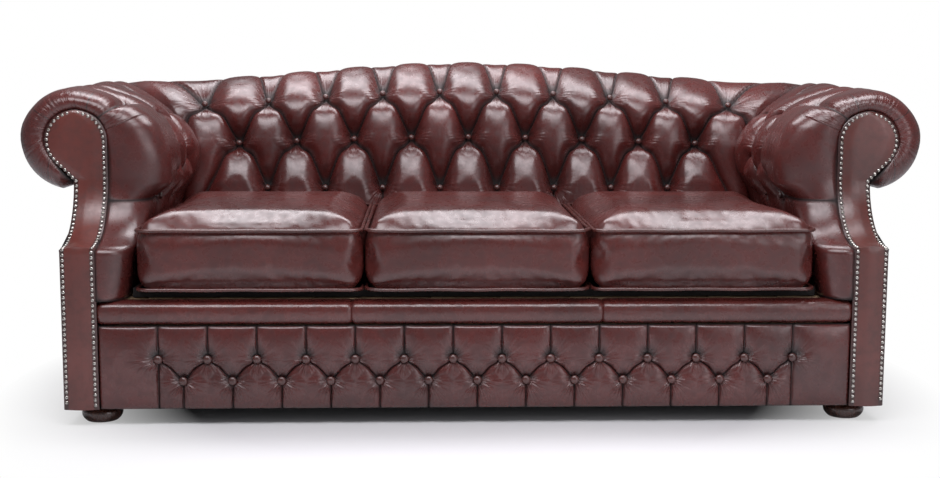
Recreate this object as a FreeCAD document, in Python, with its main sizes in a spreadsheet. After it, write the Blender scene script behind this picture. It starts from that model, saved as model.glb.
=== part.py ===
"""Three-seat sofa with a deep-buttoned back and scroll arms. All lengths are millimetres.

The frame of reference: X to the right, Y to the back, Z up, with the floor at Z = 0 and the middle of the
sofa at X = Y = 0. The left arm is the one at negative X.
"""
import FreeCAD, Part
import math
import os

import Sketcher

os.makedirs("parts", exist_ok=True)
doc = FreeCAD.newDocument("sofa")
Vector = FreeCAD.Vector

# The driving dimensions: name, value, what it measures.
SIZES = [
    ("facing_inner", 828, "facing's inner edge from the middle of the sofa"),
    ("arm_swell", 76, "arm's button line inside its facing's inner edge"),
    ("seat_depth", 656, "from the front plane to the lowest row of back buttons"),
    ("deck_thickness", 20, "seat platform under the cushions"),
    ("foot_height", 38, "bun foot that shows below the base"),
    ("foot_radius", 45, "bun foot at its widest"),
    ("foot_setback", 68, "from the front plane to the middle of a front foot"),
    ("foot_from_facing", 68, "from the facing's outer edge to the middle of a foot"),
    ("bolt_diameter", 8, "foot bolt"),
    ("bolt_clearance", 0.5, "round the bolt in wood and cloth"),
    ("rail_thickness", 35, "beech rails of the base"),
    ("base_bottom", 40, "underside of the wooden base"),
    ("frame_top", 272, "top of the side, rear and spring rails"),
    ("foot_block_height", 35, "block that holds a foot"),
    ("foot_block_width", 90, "block that holds a foot"),
    ("strap_width", 50, "jute webbing"),
    ("strap_thickness", 1.6, "jute webbing"),
    ("seat_strap_count", 10, "webbing straps from front to back"),
    ("cross_strap_count", 4, "webbing straps from side to side"),
    ("lip_height", 53, "padded roll along the front of the seat"),
    ("lip_depth", 68, "padded roll along the front of the seat"),
    ("lip_bottom", 222, "seam between the roll and the front panel"),
    ("base_panel_bottom", 36, "lower edge of the buttoned front panel"),
    ("base_panel_thickness", 9, "padding of the front panel under its buttons"),
    ("base_panel_fullness", 12, "how far the front panel swells between its buttons"),
    ("base_upper_row", 147, "upper row of buttons on the front panel"),
    ("base_lower_row", 99, "lower row of buttons on the front panel"),
    ("base_upper_count", 14, "buttons in the upper row"),
    ("base_end_width", 129.25, "front panel beyond its last buttons"),
    ("base_button_radius", 10, "buttons of the front panel"),
    ("arm_low_row", 484, "arm buttons, lowest row, at the front"),
    ("arm_middle_row", 592, "arm buttons, middle row, at the front"),
    ("arm_roll_offset", 17, "middle of the arm's roll outside the middle of its facing's scroll"),
    ("arm_roll_radius", 97, "arm scroll under its padding"),
    ("arm_roll_height", 617, "middle of the arm scroll at the front"),
    ("arm_foot_setback", 20, "how far the arm pad draws back at the seat"),
    ("arm_shoulder_drop", 30, "upper row of arm buttons below the top of the scroll"),
    ("first_arm_column", 315, "from the front plane to the first arm buttons"),
    ("back_low_row", 468, "back buttons, lowest row"),
    ("back_middle_row", 600, "back buttons, middle row, at the centre"),
    ("back_lean", 0.18, "lean of the back, mm for each mm of height"),
    ("back_roll_setback", 126, "from the lowest back buttons to the middle of the roll"),
    ("back_roll_radius", 80, "back roll under its padding"),
    ("back_roll_height", 702, "middle of the back roll at the centre"),
    ("back_crest_fall", 49, "how much lower the crest is at the arms"),
    ("back_button_count", 9, "buttons in the middle row of the back"),
    ("pad_thickness", 30, "padding under the buttons"),
    ("tack_thickness", 8, "padding where it is tacked under the rolls"),
    ("mitre_gap", 2.5, "from the mitre seam to the end of the arm and of the back"),
    ("pillow_fullness", 36, "middle of a diamond above its buttons"),
    ("fold_rise", 13, "middle of a fold above its buttons"),
    ("roll_fullness", 18, "padding over the rolls above the buttons"),
    ("button_radius", 8, "leather-covered buttons of back and arms"),
    ("button_height", 7, "dome of a covered button"),
    ("tie_radius", 0.6, "tip of a button's stem, where its twine leaves it"),
    ("scroll_radius", 70, "scroll of the facing"),
    ("facing_width", 76, "facing of the plinth"),
    ("facing_thickness", 22, "facing board with its leather"),
    ("knee_height", 392, "ridge where the facing turns back"),
    ("ledge_radius", 146, "hollow sweep of the facing above the knee"),
    ("band_depth", 60, "rounded leather border round the facing"),
    ("nail_inset", 7, "nail line from the facing's edge"),
    ("nail_pitch", 12.4, "decorative nails along their line"),
    ("nail_radius", 4.6, "decorative nail head"),
    ("nail_height", 3, "decorative nail head"),
    ("panel_thickness", 12, "outside panels"),
    ("post_thickness", 35, "beech posts and stumps"),
    ("cushion_ease", 11.5, "outer cushions from the button line of the arms"),
    ("cushion_gap", 1, "between two cushions"),
    ("cushion_depth", 598, "seat cushion over its piping"),
    ("cushion_height", 134, "from the bottom of the cushion to the middle of the upper piping"),
    ("cushion_crown", 42, "crown above the upper piping"),
    ("cushion_corner", 34, "rounding of the cushion's corners in plan"),
    ("boxing_inset", 3, "cushion's sides behind the outer side of the piping"),
    ("cushion_waist", 5, "how far the sides draw in between the pipings"),
    ("piping_radius", 4.6, "corded piping"),
    ("cover_thickness", 9, "leather with its wadding"),
    ("clearance", 0.4, "between pieces that lie against each other"),
]

sheet = doc.addObject("Spreadsheet::Sheet", "Sizes")
for row, (name, value, note) in enumerate(SIZES, 1):
    sheet.set(f"A{row}", name)
    sheet.set(f"B{row}", str(value))
    sheet.set(f"C{row}", note)
    sheet.setAlias(f"B{row}", name)
doc.recompute()


def size(name):
    return float(sheet.get(name))


# Places that several pieces share, worked out from the sheet.
clear = size("clearance")
half_inner = size("facing_inner") - size("arm_swell")
rear_swell = 0.93 * size("roll_fullness")
depth = size("seat_depth") + size("back_roll_setback") + size("back_roll_radius") + rear_swell
nail_stand = clear / 2 + size("nail_height")
front = -(depth + nail_stand) / 2 + nail_stand
button_line = front + size("seat_depth")
scroll_x = size("facing_inner") + size("scroll_radius") + size("arm_roll_offset")
back_roll_y = button_line + size("back_roll_setback")
facing_outer = size("facing_inner") + size("facing_width")
facing_back = front + size("facing_thickness")
ledge_centre = size("knee_height") + size("ledge_radius")
scroll_face = front + size("ledge_radius")
strap_layer = size("frame_top") + clear / 2
deck_bottom = size("frame_top") + 2 * size("strap_thickness") + 2 * clear
pad_bottom = deck_bottom
deck_top = deck_bottom + size("deck_thickness")
back_panel_outer = back_roll_y + 10 - clear
back_panel_inner = back_panel_outer - size("panel_thickness")
side_panel_outer = facing_outer - clear
side_panel_inner = side_panel_outer - size("panel_thickness")
foot_x = facing_outer - size("foot_from_facing")
front_foot_y = front + size("foot_setback")
rear_foot_y = back_panel_inner - size("foot_block_width") / 2 - clear
block_half = size("foot_block_width") / 2
block_top = size("base_bottom") + size("foot_block_height")
nut_top = block_top + 2
lip_top = size("lip_bottom") + size("lip_height")
cushion_width = 2 * (half_inner - size("cushion_ease") - size("cushion_gap")) / 3


def labelled(item, label):
    item.Label = label
    return item


def box(label, x, y, z, length, width, height):
    """A Part::Box whose place and sizes are expressions over the sheet."""
    item = labelled(doc.addObject("Part::Box", label), label)
    for target, expression in (
        ("Length", length),
        ("Width", width),
        ("Height", height),
        ("Placement.Base.x", x),
        ("Placement.Base.y", y),
        ("Placement.Base.z", z),
    ):
        item.setExpression(target, str(expression))
    return item


def feature(label, shape):
    item = labelled(doc.addObject("Part::Feature", label), label)
    item.Shape = shape
    item.Placement = FreeCAD.Placement()
    return item


def group(label, items):
    item = labelled(doc.addObject("Part::Compound", label), label)
    item.Links = items
    return item


def mirrored(label, source):
    """The right-hand twin of a left-hand piece, or the other way round."""
    item = labelled(doc.addObject("Part::Mirroring", label), label)
    item.Source = source
    item.Base = Vector(0, 0, 0)
    item.Normal = Vector(1, 0, 0)
    return item


def prism(points, direction):
    """A straight-sided solid: a flat outline of points moved along a direction."""
    outline = Part.makePolygon(list(points) + [points[0]])
    return Part.Face(outline).extrude(direction)


# Wooden base: rails between four foot blocks.


def make_base_frame():
    rail = size("rail_thickness")
    rail_top = size("lip_bottom") - clear
    front_y = facing_back + clear
    low = size("base_bottom")
    top = size("frame_top")
    span = foot_x - block_half - clear
    front_rail = box("front_rail", -span, front_y, "Sizes.base_bottom", 2 * span, "Sizes.rail_thickness", rail_top - low)
    rear_y = back_panel_inner - rail - clear
    rear_rail = box("rear_rail", -span, rear_y, "Sizes.base_bottom", 2 * span, "Sizes.rail_thickness",
                    "Sizes.frame_top - Sizes.base_bottom")
    spring_y = front + size("lip_depth") + clear
    spring_rail = box("spring_rail", -span, spring_y, 0, 2 * span, "Sizes.rail_thickness", rail * 2)
    spring_rail.setExpression("Placement.Base.z", "Sizes.frame_top - 2 * Sizes.rail_thickness")
    side_x = foot_x - block_half + rail / 2
    side_start = front_foot_y + block_half + clear
    side_end = rear_foot_y - block_half - clear
    side_length = side_end - side_start
    side = box("left_side_rail", -side_x - rail, side_start, "Sizes.base_bottom", "Sizes.rail_thickness", side_length,
               "Sizes.frame_top - Sizes.base_bottom")
    mirrored("right_side_rail", side)
    blocks = []
    for index, (x, y) in enumerate(foot_places()):
        block = box(f"foot_block_{index}", x - block_half, y - block_half, "Sizes.base_bottom", "Sizes.foot_block_width",
                    "Sizes.foot_block_width", "Sizes.foot_block_height")
        hole = octagonal(f"block_hole_{index}", "Sizes.bolt_diameter / 2 + Sizes.bolt_clearance",
                         "Sizes.foot_block_height", x, y, low)
        drilled = doc.addObject("Part::Cut", f"drilled_block_{index}")
        drilled.Base = block
        drilled.Tool = hole
        blocks.append(drilled)
    group("foot_blocks", blocks)
    return spring_y, rear_y, side_x


def foot_places():
    return [(-foot_x, front_foot_y), (foot_x, front_foot_y), (-foot_x, rear_foot_y), (foot_x, rear_foot_y)]


# Feet with their bolts and tee nuts.


def turned_body(label, points, place):
    """A closed half section in the XZ plane, turned about the Z axis."""
    body = labelled(doc.addObject("PartDesign::Body", label), label)
    plane = next(item for item in body.Origin.OriginFeatures if item.Role == "XZ_Plane")
    sketch = body.newObject("Sketcher::SketchObject", label + "_section")
    sketch.AttachmentSupport = (plane, "")
    sketch.MapMode = "FlatFace"
    corners = [Vector(x, z, 0) for x, z in points]
    for index, start in enumerate(corners):
        sketch.addGeometry(Part.LineSegment(start, corners[(index + 1) % len(corners)]), False)
    for index in range(len(corners)):
        sketch.addConstraint(Sketcher.Constraint("Coincident", index, 2, (index + 1) % len(corners), 1))
    turned = body.newObject("PartDesign::Revolution", label + "_turned")
    turned.Profile = sketch
    turned.ReferenceAxis = (sketch, ["V_Axis"])
    turned.Angle = 360
    body.Tip = turned
    body.Placement = FreeCAD.Placement(Vector(*place), FreeCAD.Rotation())
    return body


def octagonal(label, radius, height, x, y, z):
    """An eight-sided pin or hole whose flats lie at the radius."""
    item = labelled(doc.addObject("Part::Prism", label), label)
    item.Polygon = 8
    item.setExpression("Circumradius", f"({radius}) / cos(22.5 deg)")
    item.setExpression("Height", str(height))
    item.Placement.Base = Vector(x, y, z)
    return item


def make_feet():
    height = size("foot_height")
    radius = size("foot_radius")
    bore = size("bolt_diameter") / 2 + size("bolt_clearance")
    bore_bottom = height * 0.4
    outline = [(0, 0), (radius * 0.7, 0), (radius, height * 0.3), (radius * 0.97, height * 0.62),
               (radius * 0.62, height), (bore, height), (bore, bore_bottom), (0, bore_bottom)]
    feet = []
    bolts = []
    nuts = []
    for index, (x, y) in enumerate(foot_places()):
        feet.append(turned_body(f"foot_{index}", outline, (x, y, 0)))
        start = bore_bottom + clear
        bolts.append(octagonal(f"foot_bolt_{index}", "Sizes.bolt_diameter / 2 * cos(22.5 deg)", block_top - start, x, y, start))
        plate = octagonal(f"nut_plate_{index}", "Sizes.bolt_diameter", nut_top - block_top - clear, x, y, block_top + clear)
        hole = octagonal(f"nut_hole_{index}", "Sizes.bolt_diameter / 2 + Sizes.bolt_clearance", 10, x, y, block_top - 2)
        nut = doc.addObject("Part::Cut", f"tee_nut_{index}")
        nut.Base = plate
        nut.Tool = hole
        nuts.append(nut)
    group("front_feet", feet[:2])
    group("rear_feet", feet[2:])
    group("foot_bolts", bolts)
    group("foot_tee_nuts", nuts)


def make_dust_cover():
    """Black cloth under the base, holed for the foot bolts."""
    thickness = 1.4
    bottom = size("foot_height") + clear / 2
    cloth = box("dust_cloth", -side_panel_inner + clear, facing_back + clear, bottom, 2 * (side_panel_inner - clear),
                back_panel_inner - facing_back - 2 * clear, thickness)
    holes = []
    for index, (x, y) in enumerate(foot_places()):
        holes.append(octagonal(f"cloth_hole_{index}", "Sizes.bolt_diameter / 2 + Sizes.bolt_clearance", 2 * thickness,
                               x, y, bottom - thickness / 2))
    cover = labelled(doc.addObject("Part::Cut", "dust_cover"), "dust_cover")
    cover.Base = cloth
    cover.Tool = group("cloth_holes", holes)


# Webbing and the seat platform.


def make_suspension(spring_y, rear_y, side_x):
    rail = size("rail_thickness")
    width = size("strap_width")
    count = int(size("seat_strap_count"))
    span = 2 * half_inner - 2 * width
    straps = []
    for index in range(count):
        x = -span / 2 + span * index / (count - 1) - width / 2
        straps.append(box(f"long_strap_{index}", x, spring_y, strap_layer, "Sizes.strap_width", rear_y + rail - spring_y,
                          "Sizes.strap_thickness"))
    group("seat_webbing_lengthwise", straps)
    count = int(size("cross_strap_count"))
    start = spring_y + rail + width / 2
    end = button_line - pad_rear_room() - width
    cross = []
    for index in range(count):
        y = start + (end - start) * index / (count - 1) - width / 2
        level = strap_layer + size("strap_thickness") + clear / 2
        cross.append(box(f"cross_strap_{index}", -side_x - rail, y, level, 2 * (side_x + rail), "Sizes.strap_width",
                         "Sizes.strap_thickness"))
    group("seat_webbing_crosswise", cross)
    deck_front = front + size("lip_depth") + clear
    deck_rear = button_line - pad_rear_room()
    deck_half = half_inner + size("arm_foot_setback") - 10
    body = labelled(doc.addObject("PartDesign::Body", "seat_deck"), "seat_deck")
    plane = next(item for item in body.Origin.OriginFeatures if item.Role == "XY_Plane")
    sketch = body.newObject("Sketcher::SketchObject", "deck_outline")
    sketch.AttachmentSupport = (plane, "")
    sketch.MapMode = "FlatFace"
    corners = [(-deck_half, deck_front), (deck_half, deck_front), (deck_half, deck_rear), (-deck_half, deck_rear)]
    for index, (x, y) in enumerate(corners):
        after = corners[(index + 1) % 4]
        sketch.addGeometry(Part.LineSegment(Vector(x, y, 0), Vector(*after, 0)), False)
    for index in range(4):
        sketch.addConstraint(Sketcher.Constraint("Coincident", index, 2, (index + 1) % 4, 1))
    pad = body.newObject("PartDesign::Pad", "deck_pad")
    pad.Profile = sketch
    pad.setExpression("Length", "Sizes.deck_thickness")
    body.Tip = pad
    body.Placement = FreeCAD.Placement(Vector(0, 0, deck_bottom), FreeCAD.Rotation())


def pad_rear_room():
    """Room in front of the back pad at the height of the seat platform."""
    return size("back_lean") * (size("back_low_row") - pad_bottom) + 4


# The buttoned pads. A pad is mapped from a flat pattern of rows and columns: rows 1 to 4 hold buttons, row 0 is the
# tack line at the seat, row 5 the one under the roll. Columns count half pitches.

ROWS = [0, 1, 2, 3, 3.5, 4, 4.5, 5]
DIAGONAL = math.cos(math.pi / 4)
LAST_ROW = 5


def along(values, row):
    """A smooth curve through one value for each entry of ROWS."""
    index = max(place for place in range(len(ROWS) - 1) if ROWS[place] <= row + 1e-9)

    def slope(place):
        before = max(place - 1, 0)
        after = min(place + 1, len(ROWS) - 1)
        return (values[after] - values[before]) / (ROWS[after] - ROWS[before])

    width = ROWS[index + 1] - ROWS[index]
    step = (row - ROWS[index]) / width
    start_part = values[index] * (2 * step**3 - 3 * step**2 + 1) + slope(index) * width * (step**3 - 2 * step**2 + step)
    end_part = values[index + 1] * (3 * step**2 - 2 * step**3) + slope(index + 1) * width * (step**3 - step**2)
    return start_part + end_part


def arm_rows():
    """The arm's section under its buttons, as distances from the middle and heights, at the front."""
    radius = size("arm_roll_radius")
    height = size("arm_roll_height")
    distances = [half_inner + size("arm_foot_setback"), half_inner, half_inner - 2, scroll_x - radius, scroll_x,
                 scroll_x + radius * DIAGONAL, scroll_x + radius, facing_outer + clear]
    heights = [pad_bottom, size("arm_low_row"), size("arm_middle_row"), height + radius - size("arm_shoulder_drop"),
               height + radius, height + radius * DIAGONAL, height, height - radius]
    return distances, heights


def back_rows():
    """The back's section under its buttons, as depths and heights, at the centre."""
    radius = size("back_roll_radius")
    height = size("back_roll_height")
    low = size("back_low_row")
    lean = size("back_lean")
    tilt = math.radians(10)
    depths = [button_line - lean * (low - pad_bottom), button_line, button_line + lean * (size("back_middle_row") - low),
              back_roll_y - radius * math.cos(tilt), back_roll_y, back_roll_y + radius * DIAGONAL, back_roll_y + radius,
              back_roll_y + 10]
    heights = [pad_bottom, low, size("back_middle_row"), height + radius * math.sin(tilt), height + radius,
               height + radius * DIAGONAL, height, height - radius]
    return depths, heights


ARM_X, ARM_Z = arm_rows()
BACK_Y, BACK_Z = back_rows()
BACK_END = int(size("back_button_count")) + 1
ARM_END = 6
FALL_WIDTH = half_inner + size("arm_roll_radius")


def crest_fall(x, z):
    """How much lower the back is at x than at the centre, for a point that is at height z there."""
    low = size("back_low_row")
    share = min(max((z - low) / (size("back_roll_height") + size("back_roll_radius") - low), 0), 1)
    return size("back_crest_fall") * share * (1 - math.cos(math.pi * min(abs(x) / FALL_WIDTH, 1))) / 2


def back_point(column, row):
    past = max(abs(column) - BACK_END + 2, 0) / 2
    reach = (along(ARM_X, row) - half_inner) * past**2 - size("mitre_gap") * past
    x = half_inner / BACK_END * column + (reach if column > 0 else -reach)
    z = along(BACK_Z, row)
    return Vector(x, along(BACK_Y, row), z - crest_fall(x, z))


def front_profile(offset, low, top):
    """The arm's front in side view, moved back by an offset: upright, a hollow sweep in chords, then upright."""
    radius = size("ledge_radius") + offset
    first = -math.acos(offset / radius)
    angles = [first] + [math.radians(angle) for angle in range(-75, 1, 15) if math.radians(angle) > first + 0.05]
    line = [(front + offset, low)]
    line += [(front + radius * math.cos(angle), ledge_centre + radius * math.sin(angle)) for angle in angles]
    line.append((front + radius, top))
    return line


PROFILE = front_profile(0, 0, 1000)


def facing_y(z):
    """The front of the arm at a height."""
    for (y_low, z_low), (y_high, z_high) in zip(PROFILE, PROFILE[1:]):
        if z <= z_high:
            return y_low + (y_high - y_low) * (z - z_low) / (z_high - z_low)
    return scroll_face


FIRST_COLUMN = front + size("first_arm_column")
ARM_STEP = (button_line - FIRST_COLUMN) / (ARM_END - 1)


def arm_point(column, row):
    """The arm's button surface, on the side of positive X. It rises to meet the back in a mitre."""
    x = along(ARM_X, row)
    front_z = along(ARM_Z, row)
    mitre_y = along(BACK_Y, row)
    mitre_z = along(BACK_Z, row)
    mitre_z -= crest_fall(x, mitre_z)
    begin = facing_y(front_z) + size("band_depth")
    y = FIRST_COLUMN + (column - 1) * ARM_STEP
    if column < 1:
        y += (begin - FIRST_COLUMN + ARM_STEP) * (1 - column) ** 2
    past = max(column - ARM_END + 2, 0) / 2
    y += (mitre_y - button_line) * past**2 - size("mitre_gap") * past
    share = min(max((y - begin) / (mitre_y - begin), 0), 1)
    return Vector(x, y, front_z + (mitre_z - front_z) * share)


def outward(point, column, row):
    """The direction in which a pad swells."""
    step = 1e-3
    column = math.copysign(min(abs(column), (ARM_END if point is arm_point else BACK_END) - 2 * step), column)
    up = point(column, min(row + step, LAST_ROW)) - point(column, max(row - step, 0))
    aside = point(column + step, row) - point(column - step, row)
    direction = up.cross(aside)
    direction.normalize()
    return direction if point is arm_point else -direction


SCROLL_END = -50


def facing_rows():
    """The facing's inner outline, row by row, where the arm's leather border starts."""
    inner = size("facing_inner")
    radius = size("scroll_radius")
    centre = inner + radius
    height = size("arm_roll_height")
    tuck = math.radians(SCROLL_END)
    across = [inner, inner, inner, centre - radius * DIAGONAL, centre, centre + radius * DIAGONAL, centre + radius,
              centre + radius * math.cos(tuck)]
    up = [pad_bottom, size("arm_low_row"), size("arm_middle_row"), height + radius * DIAGONAL, height + radius,
          height + radius * DIAGONAL, height, height + radius * math.sin(tuck)]
    return across, up


FACING_X, FACING_Z = facing_rows()


def border_point(column, row, rise):
    """The rounded border from the facing's edge, at column -1, to the full scroll at column 0."""
    turn = (column + 1) * math.pi / 2
    full = arm_point(0, row) + outward(arm_point, 0, row) * rise
    begin = full.y - size("band_depth")
    x = along(FACING_X, row)
    z = along(FACING_Z, row)
    swing = math.sin(turn)
    return Vector(x + (full.x - x) * swing, begin + (full.y - begin) * (1 - math.cos(turn)), z + (full.z - z) * swing)


def border_inner_point(row):
    """The back edge of the border, behind the facing."""
    begin = arm_point(0, row).y - size("band_depth") + size("facing_thickness") + clear
    return Vector(along(FACING_X, row), begin, along(FACING_Z, row))


def padding(row):
    """Padding under the buttons, thinner where it is tacked under the roll."""
    return mix(size("pad_thickness"), size("tack_thickness"), max(row - 4, 0))


def mitred(place, column, row):
    """The inner side of a pad at the mitre, where arm and back share one line but for the gap."""
    thick = padding(row)
    arm_way = outward(arm_point, ARM_END, row)
    back_way = outward(back_point, BACK_END, row)
    end = arm_point(ARM_END, row)
    return Vector(end.x - arm_way.x * thick, along(BACK_Y, row) - back_way.y * thick,
                  end.z - (arm_way.z + back_way.z) / 2 * thick)


def mix(start, end, share):
    return start + (end - start) * share


def fold_arch(column, row):
    """Folds bow upwards between two buttons, as leather does when its pleats are laid."""
    if not 1 < row < 4:
        return 0
    return 0.14 * (math.sin(math.pi * column) * math.sin(math.pi * row)) ** 2


class Pad:
    """A buttoned pad, as cells of its flat pattern between buttons, folds, tack lines and borders."""

    steps = 4
    last_row = LAST_ROW

    def __init__(self, point, end, first, cells, inner_columns, inner_rows):
        self.point = point
        self.end = end
        self.first = first
        self.cells = cells
        self.inner_columns = inner_columns
        self.inner_rows = inner_rows
        self.points = []
        self.index = {}
        self.triangles = []
        self.edges = {"bottom": {}, "right": {}, "top": {}, "left": {}}

    def has_button(self, corner):
        column, row = corner
        if row not in (1, 2, 3, 4) or (abs(column) + row) % 2:
            return False
        return self.first <= column and abs(column) < self.end and not (row == 1 and abs(column) == self.end - 1)

    def buttons(self):
        corners = {corner for cell in self.cells for corner in cell}
        return sorted(corner for corner in corners if self.has_button(corner))

    def corner_rise(self, corner):
        column, row = corner
        return 0 if self.has_button(corner) or row in (0, LAST_ROW) or abs(column) == self.end else 6

    def edge_rise(self, start, end):
        """The height of the middle of an edge between two corners."""
        (column_a, row_a), (column_b, row_b) = sorted((start, end))
        low, high = min(row_a, row_b), max(row_a, row_b)
        if row_a == row_b and row_a in (0, LAST_ROW):
            return 0
        if abs(column_a) == abs(column_b) == self.end:
            return 0
        if column_a == column_b:
            if low < 1:
                return 18 if high == 2 else 4
            return size("roll_fullness") if low == 3 else 8
        if high == LAST_ROW or low == 0 or row_a == row_b:
            return 6
        return size("fold_rise")

    def middle_rise(self, cell):
        rows = [row for _, row in cell]
        if all(self.has_button(corner) for corner in cell):
            return size("pillow_fullness") if min(rows) == 1 else size("pillow_fullness") * 0.8
        if max(rows) == LAST_ROW:
            return size("roll_fullness")
        if min(rows) == 0 and max(rows) <= 1 or max(rows) < 1:
            return 6
        return 12 if min(rows) < 1 else 22

    def rise(self, cell, across, up):
        """The height at a place of a cell: a blend of its four edges, and a crown in the middle."""
        corner = [self.corner_rise(item) for item in cell]

        def edge(first, second, share):
            middle = self.edge_rise(cell[first], cell[second]) - (corner[first] + corner[second]) / 2
            return mix(corner[first], corner[second], share) + middle * math.sin(math.pi * share)

        def blend(across, up):
            sides = mix(edge(0, 1, across), edge(3, 2, across), up) + mix(edge(0, 3, up), edge(1, 2, up), across)
            return sides - mix(mix(corner[0], corner[1], across), mix(corner[3], corner[2], across), up)

        crown = max(math.sin(math.pi * across) * math.sin(math.pi * up), 0) ** 0.8
        return blend(across, up) + (self.middle_rise(cell) - blend(0.5, 0.5)) * crown

    def place(self, cell, across, up):
        column = mix(mix(cell[0][0], cell[1][0], across), mix(cell[3][0], cell[2][0], across), up)
        row = mix(mix(cell[0][1], cell[1][1], across), mix(cell[3][1], cell[2][1], across), up)
        return column, row

    def direction(self, column, row):
        return outward(self.point, column, row)

    def outer(self, cell, across, up):
        column, row = self.place(cell, across, up)
        row += fold_arch(column, row)
        return self.point(column, row) + self.direction(column, row) * self.rise(cell, across, up)

    def inner(self, column, row):
        if abs(column) == self.end:
            place = mitred(None, column, row)
            if self.point is arm_point:
                place.y -= size("mitre_gap")
            else:
                place.x = math.copysign(place.x - size("mitre_gap"), column)
        else:
            place = self.point(column, row) - self.direction(column, row) * padding(row)
        place.z = max(place.z, pad_bottom)
        return place

    def number(self, point):
        """The number of a point in the mesh. Points that two cells share get one number."""
        key = (round(point.x, 2), round(point.y, 2), round(point.z, 2))
        if key not in self.index:
            self.index[key] = len(self.points)
            self.points.append(point)
        return self.index[key]

    def triangle(self, first, second, third):
        if len({first, second, third}) == 3:
            self.triangles.append((first, second, third))

    def facets(self, quad, rows):
        """Two facets over four corners, with the shared edge between the corners whose rows differ least."""
        if abs(rows[1] - rows[3]) < abs(rows[0] - rows[2]):
            quad = quad[1:] + quad[:1]
        self.triangle(quad[0], quad[1], quad[2])
        self.triangle(quad[0], quad[2], quad[3])

    def lay(self, cell):
        """Facets over one cell of the outer surface. Its points on the pad's free edges are noted for the rim."""
        left, right = self.inner_columns[0], self.inner_columns[-1]
        steps = self.steps
        grid = {}
        rows = {}
        for i in range(steps + 1):
            for k in range(steps + 1):
                column, row = self.place(cell, i / steps, k / steps)
                grid[i, k] = self.number(self.outer(cell, i / steps, k / steps))
                rows[i, k] = row
                column, row = round(column, 6), round(row, 6)
                if row == 0:
                    self.edges["bottom"][column] = grid[i, k]
                if row == self.last_row:
                    self.edges["top"][-column] = grid[i, k]
                if column == right:
                    self.edges["right"][row] = grid[i, k]
                if column == left:
                    self.edges["left"][-row] = grid[i, k]
        for i in range(steps):
            for k in range(steps):
                corners = [(i, k), (i + 1, k), (i + 1, k + 1), (i, k + 1)]
                self.facets([grid[corner] for corner in corners], [rows[corner] for corner in corners])

    def wall(self, side, inner):
        """The wall along one free edge, between the outer points and the inner ones."""
        outer = sorted(self.edges[side].items())
        inner = sorted(inner)
        i, k = 0, 0
        while i < len(outer) - 1 or k < len(inner) - 1:
            if k == len(inner) - 1 or i < len(outer) - 1 and outer[i + 1][0] <= inner[k + 1][0]:
                self.triangle(outer[i + 1][1], outer[i][1], inner[k][1])
                i += 1
            else:
                self.triangle(inner[k][1], inner[k + 1][1], outer[i][1])
                k += 1

    def solid(self):
        for cell in self.cells:
            self.lay(cell)
        columns, rows = self.inner_columns, self.inner_rows
        grid = {(column, row): self.number(self.inner(column, row)) for column in columns for row in rows}
        for left, right in zip(columns, columns[1:]):
            for low, high in zip(rows, rows[1:]):
                corners = [(left, low), (left, high), (right, high), (right, low)]
                self.facets([grid[corner] for corner in corners], [row for _, row in corners])
        self.wall("bottom", [(column, grid[column, rows[0]]) for column in columns])
        self.wall("right", [(row, grid[columns[-1], row]) for row in rows])
        self.wall("top", [(-column, grid[column, rows[-1]]) for column in columns])
        self.wall("left", [(-row, grid[columns[0], row]) for row in rows])
        shell = Part.Shape()
        shell.makeShapeFromMesh((self.points, self.triangles), 0.01)
        return Part.makeSolid(shell)


class ArmPad(Pad):
    """An arm's pad, whose front rolls over into the border round the facing."""

    def corner_rise(self, corner):
        column, row = corner
        if column > 0 or row in (0, LAST_ROW):
            return super().corner_rise(corner)
        return {2: 30, 4: size("roll_fullness")}.get(row, 8)

    def edge_rise(self, start, end):
        (column_a, row_a), (column_b, row_b) = sorted((start, end))
        if column_b <= 0:
            if column_a != column_b:
                return self.corner_rise((0, row_a))
            fullness = size("roll_fullness")
            return {0: 8, 1: 28, 2: 28, 3: fullness, 4: fullness}.get(min(row_a, row_b), 8)
        if row_a == row_b and row_a in (2, 4) and column_a == 0:
            return 33 if row_a == 2 else size("roll_fullness")
        return super().edge_rise(start, end)

    def outer(self, cell, across, up):
        if max(corner[0] for corner in cell) > 0:
            return super().outer(cell, across, up)
        column, row = self.place(cell, across, up)
        ends = [self.corner_rise(cell[1]), self.corner_rise(cell[2])]
        swell = (self.edge_rise(cell[1], cell[2]) - sum(ends) / 2) * math.sin(math.pi * up)
        return border_point(column, row, mix(ends[0], ends[1], up) + swell)

    def inner(self, column, row):
        if column >= 0:
            return super().inner(column, row)
        return border_inner_point(row)


def back_cells():
    """The cells of the back, from mitre to mitre."""
    end = BACK_END
    cells = []
    for column in range(3 - end, end - 2, 2):
        cells.append([(column, 1), (column + 1, 2), (column, 3), (column - 1, 2)])
        cells.append([(column - 1, 4), (column, 3), (column, 5), (column - 1, 5)])
        cells.append([(column, 3), (column + 1, 4), (column + 1, 5), (column, 5)])
    for column in range(2 - end, end - 1, 2):
        cells.append([(column, 2), (column + 1, 3), (column, 4), (column - 1, 3)])
    for column in range(4 - end, end - 3, 2):
        cells.append([(column - 1, 0), (column, 0), (column, 2), (column - 1, 1)])
        cells.append([(column, 0), (column + 1, 0), (column + 1, 1), (column, 2)])
    right = [
        [(end - 3, 0), (end - 2, 0), (end - 2, 2), (end - 3, 1)],
        [(end - 2, 0), (end, 0), (end, 1), (end - 2, 2)],
        [(end - 2, 2), (end, 1), (end, 3), (end - 1, 3)],
        [(end - 1, 3), (end, 3), (end, 4), (end - 2, 4)],
        [(end - 2, 4), (end, 4), (end, 5), (end - 2, 5)],
    ]
    for cell in right:
        cells.append(cell)
        cells.append([(-column, row) for column, row in reversed(cell)])
    return cells


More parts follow.
